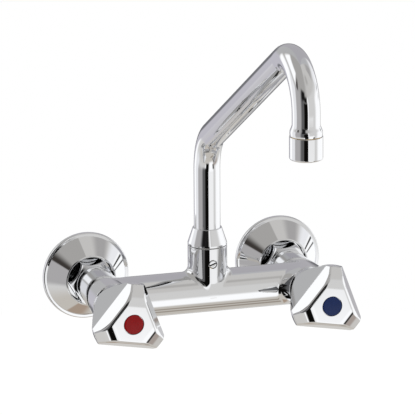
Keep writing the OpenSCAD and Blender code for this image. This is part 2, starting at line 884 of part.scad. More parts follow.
// Bent tube of the spout with its flared end.
module spout_tube() {
    flare_r = flare_d / 2;
    flare_steps = 4;
    seat_chamfer = 0.2;
    outside = sheet(tube_r, concat(
        [for (i = [0 : flare_steps])
            let (t = i / flare_steps)
                [flare_len - (flare_len - flare_lip) * t,
                 tube_r + (flare_r - tube_r) * t * t * (3 - 2 * t)]],
        [[0, flare_r]]));
    inside = sheet(tube_bore_r, [
        [ring_seat_h + seat_chamfer, tube_bore_r],
        [ring_seat_h, flare_r - tube_wall],
        [0, flare_r - tube_wall]]);
    out_n = len(outside) * tube_sides;
    in_n = len(inside) * tube_sides;
    color(chrome)
        on_spout_axis()
            polyhedron(
                points = concat(sheet_points(outside), sheet_points(inside)),
                faces = concat(
                    sheet_faces(len(outside), 0, true),
                    sheet_faces(len(inside), out_n, false),
                    end_faces(0, out_n, true),
                    end_faces(out_n - tube_sides, out_n + in_n - tube_sides, false)));
}

// Heights of the two seal grooves of the spout's nipple.
spout_ring_heights = [nipple_foot + 2 * spout_ring_t, socket_top - 2 * spout_ring_t];

// Brass nipple soldered into the riser; it turns in the body's socket.
module spout_nipple() {
    color(brass)
        on_spout_axis()
            difference() {
                union() {
                    rod(spout_nipple_d / 2, nipple_foot, collar_foot);
                    rod(nipple_flange_r, collar_foot, tube_foot);
                    rod(tube_bore_r * side_share - fit_gap, tube_foot, tube_foot + nipple_grip);
                }
                for (h = spout_ring_heights)
                    ring(socket_d, spout_ring_seat_r, h - spout_groove_w / 2, h + spout_groove_w / 2);
                ring(socket_d, stop_groove_r,
                     stop_screw_h - stop_groove_w / 2, stop_screw_h + stop_groove_w / 2);
                rod(nipple_bore_r, nipple_foot - past, tube_foot + nipple_grip + past);
            }
}

// The two seal rings of the spout's nipple.
module spout_rings() {
    color(black_rubber)
        on_spout_axis()
            for (h = spout_ring_heights)
                seal(spout_ring_seat_r + ring_gap, spout_ring_t, h);
}

// Thin plastic ring on the socket's rim that the spout turns on.
module spout_slide_ring() {
    color(white_plastic)
        on_spout_axis()
            ring(socket_d / 2 - 2 * run_gap, spout_nipple_d / 2 + 2 * run_gap, socket_top, collar_foot);
}

// Cone collar that covers the joint between the tube and the socket.
module spout_collar() {
    foot_r = socket_d / 2;
    top_r = cone_top_d / 2;
    top = collar_foot + cone_h;
    edge = 0.3;
    color(chrome)
        on_spout_axis()
            difference() {
                rotate_extrude()
                    polygon([
                        [0, collar_foot],
                        [foot_r - edge, collar_foot],
                        [foot_r, collar_foot + edge],
                        [foot_r, collar_foot + cone_foot_h],
                        [top_r, top - edge],
                        [top_r - edge, top],
                        [0, top]]);
                rod(nipple_flange_r + run_gap, collar_foot - past, tube_foot + run_gap);
                rod(tube_r + fit_gap, collar_foot, top + past);
            }
}

// Slotted screw in the socket's front whose end runs in the nipple's groove.
module spout_stop_screw() {
    face = socket_d / 2 + 0.1;
    neck = socket_bore_d / 2 + free_gap;
    tip = stop_groove_r + end_gap;
    slot_angle = 20;
    slot_w = 0.9;
    slot_depth = 1;
    color(steel)
        on_spout_axis()
            translate([0, 0, stop_screw_h])
                rotate([90, 0, 0])
                    difference() {
                        union() {
                            rod(stop_screw_d / 2, neck, face);
                            rod(stop_tip_d / 2, tip, neck + weld);
                        }
                        rotate(slot_angle)
                            translate([-stop_screw_d, -slot_w / 2, face - slot_depth])
                                cube([2 * stop_screw_d, slot_w, slot_depth + past]);
                    }
}

// Threaded brass ring brazed into the flared end of the tube.
module outlet_ring() {
    color(brass)
        on_spout_axis()
            on_outlet_axis()
                difference() {
                    union() {
                        rod((flare_d / 2 - tube_wall) * side_share - fit_gap,
                            tube_end_h - weld, tube_end_h + ring_seat_h - fit_gap);
                        rod(aerator_thread_d / 2, outlet_ring_foot, tube_end_h);
                    }
                    rod(tube_bore_r, outlet_ring_foot - past, tube_end_h + ring_seat_h + past);
                }
}

// Chromed shell that screws onto the outlet ring.
module aerator_housing() {
    outer_r = aerator_d / 2;
    inner_r = aerator_thread_d / 2 + fit_gap;
    step_h = outlet_ring_foot - end_gap;
    edge = 0.3;
    color(chrome)
        on_spout_axis()
            on_outlet_axis()
                rotate_extrude()
                    polygon(concat(
                        [[inner_r, aerator_top],
                         [outer_r - edge, aerator_top],
                         [outer_r, aerator_top - edge]],
                        arc([outer_r - aerator_round, aerator_foot + aerator_round],
                            aerator_round, 0, -90),
                        [[lip_r, aerator_foot],
                         [lip_r, grid_foot],
                         [insert_r + fit_gap, grid_foot],
                         [insert_r + fit_gap, step_h],
                         [inner_r, step_h]]));
}

// Outlet grid with a hexagonal field of holes.
module aerator_grid() {
    margin = 1;
    field_r = insert_r - grid_hole_d / 2 - margin;
    rows = ceil(field_r / grid_pitch);
    color(white_plastic)
        on_spout_axis()
            on_outlet_axis()
                difference() {
                    rod(insert_r, grid_foot, flow_disc_foot);
                    for (q = [-rows : rows], s = [-rows : rows])
                        let (place = grid_pitch * [q + s / 2, s * sin(60)])
                            if (norm(place) <= field_r)
                                translate(place)
                                    rod(grid_hole_d / 2, grid_foot - past, flow_disc_foot + past);
                }
}

// Disc with one circle of small holes that meters the water onto the grid.
module aerator_flow_disc() {
    jets = 12;
    jet_r = 0.8;
    jet_circle_r = 0.6 * insert_r;
    color(white_plastic)
        on_spout_axis()
            on_outlet_axis()
                difference() {
                    rod(insert_r, flow_disc_foot, gasket_foot);
                    for (k = [0 : jets - 1])
                        rotate(360 * k / jets)
                            translate([jet_circle_r, 0, 0])
                                rod(jet_r, flow_disc_foot - past, gasket_foot + past);
                }
}

// Soft ring between the flow disc and the outlet ring.
module aerator_gasket() {
    gasket_w = 1.8;
    color(black_rubber)
        on_spout_axis()
            on_outlet_axis()
                ring(insert_r, insert_r - gasket_w, gasket_foot, outlet_ring_foot);
}

mixer_body();
wall_union(hot);  // hot_wall_union
wall_union(cold);  // cold_wall_union
wall_flange(hot);  // hot_wall_flange
wall_flange(cold);  // cold_wall_flange
union_nut(hot);  // hot_union_nut
union_nut(cold);  // cold_union_nut
inlet_washer(hot);  // hot_inlet_washer
inlet_washer(cold);  // cold_inlet_washer
inlet_nipple(hot);  // hot_inlet_nipple
inlet_nipple(cold);  // cold_inlet_nipple
bonnet(hot);  // hot_bonnet
bonnet(cold);  // cold_bonnet
bonnet_gasket(hot);  // hot_bonnet_gasket
bonnet_gasket(cold);  // cold_bonnet_gasket
spindle(hot);  // hot_spindle
spindle(cold);  // cold_spindle
spindle_rings(hot);  // hot_spindle_rings
spindle_rings(cold);  // cold_spindle_rings
spindle_clip(hot);  // hot_spindle_clip
spindle_clip(cold);  // cold_spindle_clip
valve_piston(hot);  // hot_valve_piston
valve_piston(cold);  // cold_valve_piston
seat_washer(hot);  // hot_seat_washer
seat_washer(cold);  // cold_seat_washer
washer_screw(hot);  // hot_washer_screw
washer_screw(cold);  // cold_washer_screw
handle(hot);  // hot_handle
handle(cold);  // cold_handle
handle_screw(hot);  // hot_handle_screw
handle_screw(cold);  // cold_handle_screw
index_button(hot);  // hot_index_button
index_button(cold);  // cold_index_button
spout_tube();
spout_nipple();
spout_rings();
spout_slide_ring();
spout_collar();
spout_stop_screw();
outlet_ring();
aerator_housing();
aerator_grid();
aerator_flow_disc();
aerator_gasket();
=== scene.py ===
"""Shapes, finishes, studio and camera of a wall-mounted two-handle mixer tap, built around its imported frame.

Sizes are in millimetres, on the axes that the frame's joints give, until a piece is settled in metres.
"""

import json
import logging
from collections.abc import Callable, Iterable, Sequence
from dataclasses import dataclass, replace
from enum import Enum
from math import atan, cos, inf, pi, radians, sin, tan

import bmesh
import bpy
import numpy as np
from bmesh.types import BMEdge, BMesh, BMVert
from bpy.types import Material, Node, NodeSocket, NodeTree, Object, World
from mathutils import Matrix, Vector

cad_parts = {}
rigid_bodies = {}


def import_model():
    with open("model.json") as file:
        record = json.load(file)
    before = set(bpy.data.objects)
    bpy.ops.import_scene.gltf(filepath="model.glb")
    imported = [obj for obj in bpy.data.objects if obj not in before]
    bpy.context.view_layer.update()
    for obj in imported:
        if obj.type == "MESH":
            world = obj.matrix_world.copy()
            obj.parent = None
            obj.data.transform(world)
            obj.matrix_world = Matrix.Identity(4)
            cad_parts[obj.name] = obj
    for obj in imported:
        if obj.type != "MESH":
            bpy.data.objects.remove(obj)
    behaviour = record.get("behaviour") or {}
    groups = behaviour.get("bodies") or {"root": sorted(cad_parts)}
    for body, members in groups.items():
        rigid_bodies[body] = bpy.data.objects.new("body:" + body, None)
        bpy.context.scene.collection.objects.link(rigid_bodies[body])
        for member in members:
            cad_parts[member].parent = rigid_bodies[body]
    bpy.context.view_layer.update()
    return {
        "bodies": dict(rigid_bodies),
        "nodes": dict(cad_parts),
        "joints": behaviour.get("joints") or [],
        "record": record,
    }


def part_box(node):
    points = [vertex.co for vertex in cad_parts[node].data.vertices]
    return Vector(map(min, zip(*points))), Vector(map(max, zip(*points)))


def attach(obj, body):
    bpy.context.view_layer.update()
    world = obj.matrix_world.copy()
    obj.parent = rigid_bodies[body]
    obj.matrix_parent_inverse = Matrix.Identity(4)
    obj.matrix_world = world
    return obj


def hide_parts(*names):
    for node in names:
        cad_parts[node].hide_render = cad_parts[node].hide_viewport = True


MM = 0.001
TURN = 2 * pi
# Points of a mesh that are nearer than this are one
WELD = 1e-4
# Height of the spout's retaining screw above the bar's axis
SCREW_H = 24.1
LOG = logging.getLogger("mixer_tap")

# Radius, height and rounding of a corner of an outline
Corner = tuple[float, float, float]
# Radius and height of each point of an outline
Profile = list[tuple[float, float]]
# Radius and depth of each step of a bore, or radius and height of each corner of what is bored out
Bores = tuple[tuple[float, float], ...]


class Side(Enum):
    """The two supplies, by the first word of their nodes' names."""

    HOT = "hot"
    COLD = "cold"


class Grain(Enum):
    """How a surface was made, which decides the pattern on it."""

    POLISHED = "polished and plated"
    TURNED = "turned on a lathe"
    MOULDED = "moulded"
    PRESSED = "pressed from fibre"


def linear(code: str) -> tuple[float, float, float, float]:
    """Turns an sRGB hex colour into linear values.

    Args:
        code: Six hex digits after a hash sign.

    Returns:
        Red, green, blue and an alpha of 1.
    """
    parts = [int(code[i : i + 2], 16) / 255 for i in (1, 3, 5)]
    red, green, blue = (c / 12.92 if c <= 0.04045 else ((c + 0.055) / 1.055) ** 2.4 for c in parts)
    return red, green, blue, 1.0


def empty_tree(owner: Material | World) -> NodeTree:
    """Turns on the nodes of a material or world and returns its tree, empty."""
    owner.use_nodes = True
    owner.node_tree.nodes.clear()
    return owner.node_tree


def add_node(tree: NodeTree, kind: str, inputs: dict | None = None, **settings) -> Node:
    """Adds a node with its settings, values and links.

    Args:
        tree: Node tree that takes the node.
        kind: Blender's name for the node, without ShaderNode at its start.
        inputs: A value or an output socket for each input, by name or number.
        **settings: The node's own properties.

    Returns:
        The new node.
    """
    node = tree.nodes.new("ShaderNode" + kind)
    for key, value in settings.items():
        setattr(node, key, value)
    for key, value in (inputs or {}).items():
        if isinstance(value, NodeSocket):
            tree.links.new(value, node.inputs[key])
        else:
            node.inputs[key].default_value = value
    return node


@dataclass(frozen=True)
class Finish:
    """A surface of one material, with the pattern that its making left on it.

    Attributes:
        name: What the material is and how it was made.
        slot: The record's material slot.
        colour: Main sRGB colour.
        shade: Second sRGB colour of a mottled surface, or the main colour again.
        grain: How the surface was made.
        grain_mm: Real size of the pattern.
        relief_mm: Depth of the pattern.
        rough: Lowest and highest roughness.
        metallic: 1 for a metal.
        ior: Index of refraction, or None for a metal.
        gloss: Strength of the clear reflection, 0.5 as that index gives it.
        axis: Axis that a turned piece was turned on.
        painted_shade_y: Place on the Y axis in millimetres from where the surface is painted black with shade,
            as at the bottom of a slot, or None.
        painted_shade: sRGB colour of that painted shade.
    """

    name: str
    slot: str
    colour: str
    shade: str
    grain: Grain
    grain_mm: float
    relief_mm: float
    rough: tuple[float, float]
    metallic: float = 0.0
    ior: float | None = None
    gloss: float = 0.5
    axis: str = "Y"
    # Painted shade: from where a slot's depth is painted near-black, and that colour
    painted_shade_y: float | None = None
    painted_shade: str = "#0D0C0B"

    def patterns(self, tree: NodeTree) -> tuple[NodeSocket, NodeSocket]:
        """Adds the pattern of the surface.

        Args:
            tree: The material's node tree.

        Returns:
            A fine pattern for roughness and colour, and one for relief, both from 0 to 1.
        """
        place = add_node(tree, "TexCoord").outputs["Object"]
        scale = 1 / (self.grain_mm * MM)
        if self.grain is Grain.TURNED:
            rings = add_node(tree, "TexWave", {
                "Vector": place, "Scale": scale / 3, "Distortion": 1.2, "Detail": 2.0, "Detail Scale": 0.4,
            }, bands_direction=self.axis).outputs["Fac"]
            return rings, rings
        fine = add_node(tree, "TexNoise", {
            "Vector": place, "Scale": scale, "Detail": 3.0, "Roughness": 0.55}).outputs["Fac"]
        if self.grain is Grain.POLISHED:
            # The wheel leaves long, very shallow waves, eight times as wide as the wiping marks
            wave = add_node(tree, "TexNoise", {
                "Vector": place, "Scale": scale / 8, "Detail": 1.0, "Roughness": 0.4})
            return fine, wave.outputs["Fac"]
        distance = "MANHATTAN" if self.grain is Grain.PRESSED else "EUCLIDEAN"
        cells = add_node(tree, "TexVoronoi", {"Vector": place, "Scale": scale}, distance=distance)
        return fine, cells.outputs["Distance"]

    def material(self) -> Material:
        """Returns the material, made on the first call."""
        known = bpy.data.materials.get(self.name)
        if known:
            return known
        made = bpy.data.materials.new(self.name)
        tree = empty_tree(made)
        fine, relief = self.patterns(tree)
        colour, metallic = linear(self.colour), self.metallic
        if self.shade != self.colour:
            colour = add_node(tree, "Mix", {0: fine, 6: colour, 7: linear(self.shade)},
                              data_type="RGBA").outputs[2]
        # Painted shade: black behind a plane, for the shade deep in a slot
        if self.painted_shade_y is not None:
            colour, metallic = self.paint_slot_shade(tree)
        least, most = self.rough
        rough = add_node(tree, "MapRange", {
            "Value": fine, "From Min": 0.3, "From Max": 0.7, "To Min": least, "To Max": most})
        bump = add_node(tree, "Bump", {"Height": relief, "Strength": 1.0, "Distance": self.relief_mm * MM})
        shader = add_node(tree, "BsdfPrincipled", {
            "Base Color": colour, "Metallic": metallic, "Specular IOR Level": self.gloss,
            "Roughness": rough.outputs["Result"], "Normal": bump.outputs["Normal"]})
        if self.ior:
            shader.inputs["IOR"].default_value = self.ior
        add_node(tree, "OutputMaterial", {"Surface": shader.outputs["BSDF"]})
        return made

    def paint_slot_shade(self, tree: NodeTree) -> tuple[NodeSocket, NodeSocket]:
        """Paints black shade on the surface behind a plane, standing for the shade at the bottom of a slot and
        in a ring's gap.

        Args:
            tree: The material's node tree.

        Returns:
            The colour, and 1 where the metal is free of the painted shade.
        """
        place = add_node(tree, "TexCoord").outputs["Object"]
        y = add_node(tree, "SeparateXYZ", {0: place}).outputs[1]
        # Painted shade: black where the surface lies behind the plane, deep in the slot and the ring's gap
        in_painted_shade = add_node(tree, "Math", {0: y, 1: self.painted_shade_y * MM}, operation="GREATER_THAN").outputs[0]
        tint = add_node(tree, "Mix", {0: in_painted_shade, 6: linear(self.colour), 7: linear(self.painted_shade)},
                        data_type="RGBA")
        unshaded_metal = add_node(tree, "Math", {0: in_painted_shade, 1: -1.0, 2: 1.0}, operation="MULTIPLY_ADD")
        return tint.outputs[2], unshaded_metal.outputs[0]


# Bright chrome on polished brass: a mirror with faint waves and wiping marks
CHROME = Finish("polished_chrome_plate", "chrome", "#E8E9EB", "#E8E9EB", Grain.POLISHED, 2.5, 0.012,
                (0.015, 0.05), metallic=1.0)
# The chromed retaining screw, with black painted shade below its face, which draws its slot and its ring
SCREW_CHROME = Finish("chromed_screw_with_painted_shade_in_slot", "chrome", "#DFE0E2", "#DFE0E2", Grain.POLISHED, 2.5,
                      0.012, (0.06, 0.14), metallic=1.0, painted_shade_y=-82.2)
# Bare turned brass: warm metal with fine rings from the tool
BRASS = Finish("turned_brass", "brass", "#D9BE7A", "#C9A862", Grain.TURNED, 0.6, 0.01,
               (0.22, 0.34), metallic=1.0)
# The same brass turned on the upright axis of the spout
SPOUT_BRASS = replace(BRASS, name="turned_brass_spout", axis="Z")
# Stainless steel screws and clips: grey metal with a dull shine
STEEL = Finish("turned_stainless_steel", "steel", "#C4C5C8", "#B4B5B9", Grain.TURNED, 0.5, 0.008,
               (0.2, 0.32), metallic=1.0)
# Nitrile rings and washers: near-black with a soft sheen and a faint mould grain
RUBBER = Finish("moulded_rubber", "rubber", "#1E1E1F", "#2A2A2B", Grain.MOULDED, 0.4, 0.02,
                (0.45, 0.62), ior=1.52)
# Vulcanised fibre gaskets: matt red with short fibres
FIBRE = Finish("pressed_red_fibre", "red_fibre", "#8C2A20", "#A5402F", Grain.PRESSED, 0.5, 0.03,
               (0.6, 0.8), ior=1.5)
# Acetal rings and grids: milky white with a satin skin
WHITE_PLASTIC = Finish("moulded_white_acetal", "white_plastic", "#E6E6E1", "#DDDDD7", Grain.MOULDED, 0.6,
                       0.01, (0.3, 0.42), ior=1.48)
# Acrylic buttons: deep colour with a thin gloss and a few faint flow marks
RED_PLASTIC = Finish("glossy_red_acrylic", "hot_red", "#8C1216", "#7D0F12", Grain.MOULDED, 5.0, 0.01,
                     (0.1, 0.18), ior=1.49, gloss=0.16)
BLUE_PLASTIC = Finish("glossy_blue_acrylic", "cold_blue", "#1E2F5E", "#182750", Grain.MOULDED, 5.0, 0.01,
                      (0.1, 0.18), ior=1.49, gloss=0.16)


def rounded(corners: Sequence[Corner], steps: int = 5, closed: bool = True) -> Profile:
    """Rounds the corners of an outline.

    Args:
        corners: Radius, height and rounding of each corner.
        steps: Straight pieces in each rounding.
        closed: Whether the outline joins its end to its start.

    Returns:
        The outline's points.
    """
    # Most of a side that one rounding may take
    most = 0.49
    points: Profile = []
    count = len(corners)
    for i, (r, h, rounding) in enumerate(corners):
        here = Vector((r, h))
        if rounding <= 0 or (not closed and i in (0, count - 1)):
            points.append((r, h))
            continue
        back = Vector(corners[i - 1][:2]) - here
        ahead = Vector(corners[(i + 1) % count][:2]) - here
        half = back.angle(ahead) / 2
        run = min(rounding / tan(half), most * back.length, most * ahead.length)
        radius = run * tan(half)
        centre = here + (back.normalized() + ahead.normalized()).normalized() * radius / sin(half)
        start = here + back.normalized() * run - centre
        end = here + ahead.normalized() * run - centre
        sweep = start.angle_signed(end)
        for k in range(steps + 1):
            turn = -sweep * k / steps
            s, c = sin(turn), cos(turn)
            spoke = Vector((start.x * c - start.y * s, start.x * s + start.y * c))
            points.append(tuple(centre + spoke))
    return points


def lathe(profile: Profile, steps: int = 144, closed: bool = True) -> BMesh:
    """Spins an outline round the Z axis.

    Args:
        profile: Radius and height of each point.
        steps: Sides of the round.
        closed: Whether the outline joins its end to its start, as one that misses the axis does.

    Returns:
        A closed mesh.
    """
    bm = bmesh.new()
    verts = [bm.verts.new((r, 0, h)) for r, h in profile]
    pairs = list(zip(verts, verts[1:])) + ([(verts[-1], verts[0])] if closed else [])
    edges = [bm.edges.new(pair) for pair in pairs]
    bmesh.ops.spin(bm, geom=verts + edges, cent=(0, 0, 0), axis=(0, 0, 1), dvec=(0, 0, 0), angle=TURN,
                   steps=steps, use_merge=True)
    bmesh.ops.remove_doubles(bm, verts=bm.verts, dist=WELD)
    bmesh.ops.recalc_face_normals(bm, faces=bm.faces)
    return bm


def round_bar(bm: BMesh, place: Matrix, length: float, radius: float, top_r: float | None = None,
              sides: int = 128) -> BMesh:
    """Adds a closed round bar to a mesh.

    Args:
        bm: Mesh that takes it.
        place: Where its middle stands, with Z along it.
        length: Its length, half to each side.
        radius: Its radius, or the one at its low end.
        top_r: Radius at its high end, if that differs.
        sides: Sides of the round.

    Returns:
        The mesh.
    """
    bmesh.ops.create_cone(bm, cap_ends=True, segments=sides, radius1=radius,
                          radius2=radius if top_r is None else top_r, depth=length, matrix=place)
    return bm


def block(place: Matrix, size: Sequence[float]) -> BMesh:
    """Returns a box of the given width, depth and height, its middle at a place."""
    bm = bmesh.new()
    bmesh.ops.create_cube(bm, size=1.0, matrix=place @ Matrix.Diagonal((*size, 1)))
    return bm


def open_edges(geom: Iterable) -> list[BMEdge]:
    """Returns the edges among parts of a mesh that have only one face."""
    return [part for part in geom if isinstance(part, BMEdge) and part.is_boundary]


def slice_off(bm: BMesh, point: Sequence[float], normal: Sequence[float]) -> None:
    """Cuts a mesh by a plane, drops what lies beyond it and closes the cut.

    Args:
        bm: Mesh to cut.
        point: A point on the plane.
        normal: The direction that is cut away.
    """
    cut = bmesh.ops.bisect_plane(bm, geom=bm.verts[:] + bm.edges[:] + bm.faces[:], dist=WELD, plane_co=point,
                                 plane_no=normal, clear_outer=True)
    bmesh.ops.edgeloop_fill(bm, edges=open_edges(cut["geom_cut"]))


def prism(outline: Sequence[tuple[float, float]], width: float) -> BMesh:
    """Makes a bar of constant section across the XZ plane.

    Args:
        outline: X and Z of the section's corners.
        width: Length along Y, half to each side.

    Returns:
        A closed mesh.
    """
    bm = bmesh.new()
    face = bm.faces.new([bm.verts.new((x, -width / 2, z)) for x, z in outline])
    grown = bmesh.ops.extrude_face_region(bm, geom=[face])
    moved = [v for v in grown["geom"] if isinstance(v, BMVert)]
    bmesh.ops.translate(bm, verts=moved, vec=(0, width, 0))
    bmesh.ops.recalc_face_normals(bm, faces=bm.faces)
    return bm


def in_scene(name: str, data: bpy.types.ID) -> Object:
    """Returns a new object of a mesh, lamp or camera, in the scene."""
    obj = bpy.data.objects.new(name, data)
    bpy.context.scene.collection.objects.link(obj)
    return obj


def loose_object(name: str, bm: BMesh) -> Object:
    """Makes an object of a mesh and frees the mesh.

    Args:
        name: Name of the object.
        bm: Mesh that the object takes.

    Returns:
        The object, in the scene.
    """
    mesh = bpy.data.meshes.new(name)
    bm.to_mesh(mesh)
    bm.free()
    return in_scene(name, mesh)


def baked(obj: Object, extra: Sequence[Object] = ()) -> BMesh:
    """Applies an object's modifiers.

    Args:
        obj: Object with modifiers, which is removed.
        extra: Objects that its modifiers use, also removed.

    Returns:
        The mesh that the modifiers give.
    """
    bpy.context.view_layer.update()
    out = bmesh.new()
    done = obj.evaluated_get(bpy.context.evaluated_depsgraph_get())
    out.from_mesh(done.to_mesh())
    done.to_mesh_clear()
    for spent in (obj, *extra):
        mesh = spent.data
        bpy.data.objects.remove(spent)
        bpy.data.meshes.remove(mesh)
    return out


def combine(bm: BMesh, others: Sequence[BMesh], operation: str = "DIFFERENCE",
            solver: str = "EXACT") -> BMesh:
    """Cuts closed shapes out of a mesh, or joins them to it.

    Args:
        bm: Closed mesh, which is freed.
        others: Closed meshes, also freed.
        operation: DIFFERENCE cuts, UNION joins.
        solver: EXACT, or FAST where the mesh has tiny folds in its roundings.

    Returns:
        The mesh that is left.
    """
    host = loose_object("host", bm)
    tools = [loose_object("tool", other) for other in others]
    for tool in tools:
        step = host.modifiers.new("step", "BOOLEAN")
        step.operation = operation
        step.solver = solver
        step.object = tool
    out = baked(host, tools)
    bmesh.ops.remove_doubles(out, verts=out.verts, dist=WELD)
    return out


def ease_edges(bm: BMesh, width: float, least_deg: float = 60.0, low: float = -inf, out: float = 0.0) -> None:
    """Bevels the sharp edges on the outside of a mesh.

    Args:
        bm: Mesh to bevel.
        width: Width of the bevel.
        least_deg: Least angle between the faces of a sharp edge.
        low: Edges whose middle is lower than this stay.
        out: Edges whose middle is nearer the Z axis than this stay.
    """
    edges = []
    for edge in bm.edges:
        middle = (edge.verts[0].co + edge.verts[1].co) / 2
        sharp = len(edge.link_faces) == 2 and edge.calc_face_angle() > radians(least_deg)
        if sharp and middle.z >= low and middle.xy.length >= out:
            edges.append(edge)
    bmesh.ops.bevel(bm, geom=edges, offset=width, offset_type="OFFSET", segments=2, profile=0.5,
                    affect="EDGES", material=-1, clamp_overlap=True, loop_slide=True)


def round_by_share(bm: BMesh, width: float, share: Callable[[BMEdge], float], segments: int) -> BMesh:
    """Rounds edges by different widths at once, so that wide and narrow roundings meet cleanly.

    Args:
        bm: Mesh to round, which is freed.
        width: Width of a full rounding.
        share: Gives each edge's share of that width.
        segments: Steps of the rounding.

    Returns:
        The rounded mesh.
    """
    layer = bm.edges.layers.float.new("bevel_weight_edge")
    for edge in bm.edges:
        edge[layer] = share(edge)
    host = loose_object("host", bm)
    ease = host.modifiers.new("ease", "BEVEL")
    ease.limit_method = "WEIGHT"
    ease.offset_type = "OFFSET"
    ease.width = width
    ease.segments = segments
    ease.profile = 0.5
    ease.material = -1
    ease.use_clamp_overlap = False
    return baked(host)


def settle(bm: BMesh, name: str, place: Matrix, finish: Finish, body: str, nodes: Sequence[str],
           sharp_deg: float = 32.0, weighted: bool = True) -> Object:
    """Turns a mesh in millimetres into a finished piece at the origin.

    Args:
        bm: Mesh of the piece, which is freed.
        name: Name of the piece.
        place: Where the mesh's own axes stand.
        finish: The piece's finish.
        body: CAD body that the piece moves with.
        nodes: CAD nodes that the piece stands for.
        sharp_deg: Angle from which an edge is drawn sharp.
        weighted: Whether large faces keep their own normals, as flats beside a rounding do.

    Returns:
        The piece.
    """
    bmesh.ops.transform(bm, matrix=place @ Matrix.Scale(MM, 4), verts=bm.verts)
    for edge in bm.edges:
        edge.smooth = len(edge.link_faces) == 2 and edge.calc_face_angle() < radians(sharp_deg)
    for face in bm.faces:
        face.smooth = True
    obj = loose_object(name, bm)
    obj.data.materials.append(finish.material())
    if weighted:
        normals = obj.modifiers.new("normals", "WEIGHTED_NORMAL")
        normals.keep_sharp = True
        normals.mode = "FACE_AREA"
    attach(obj, body)
    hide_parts(*nodes)
    return obj


@dataclass(frozen=True)
class Axes:
    """Where the tap's own axes stand, from the frame's joints and nodes.

    Attributes:
        valve: For each side, Z leads out from the wall along the valve.
        spout: Z leads up the riser from the bar's axis.
        outlet: Z leads up through the outlet from the height of the bar's axis.
    """

    valve: dict[Side, Matrix]
    spout: Matrix
    outlet: Matrix

    @classmethod
    def read(cls, frame: dict) -> "Axes":
        """Reads the axes.


        Returns:
            The axes, in metres.
        """
        joints = {j["name"]: j for j in frame["joints"]}
        valve = {}
        for side in Side:
            x, _, z = joints[f"{side.value}_handle_turn"]["pos_m"]
            valve[side] = Matrix(((1, 0, 0, x), (0, 0, -1, 0), (0, 1, 0, z), (0, 0, 0, 1)))
        spout = Matrix.Translation(joints["spout_swivel"]["pos_m"])
        low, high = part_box("aerator_housing")
        outlet = Matrix.Translation(((low.x + high.x) / 2, (low.y + high.y) / 2, spout.translation.z))
        return cls(valve, spout, outlet)


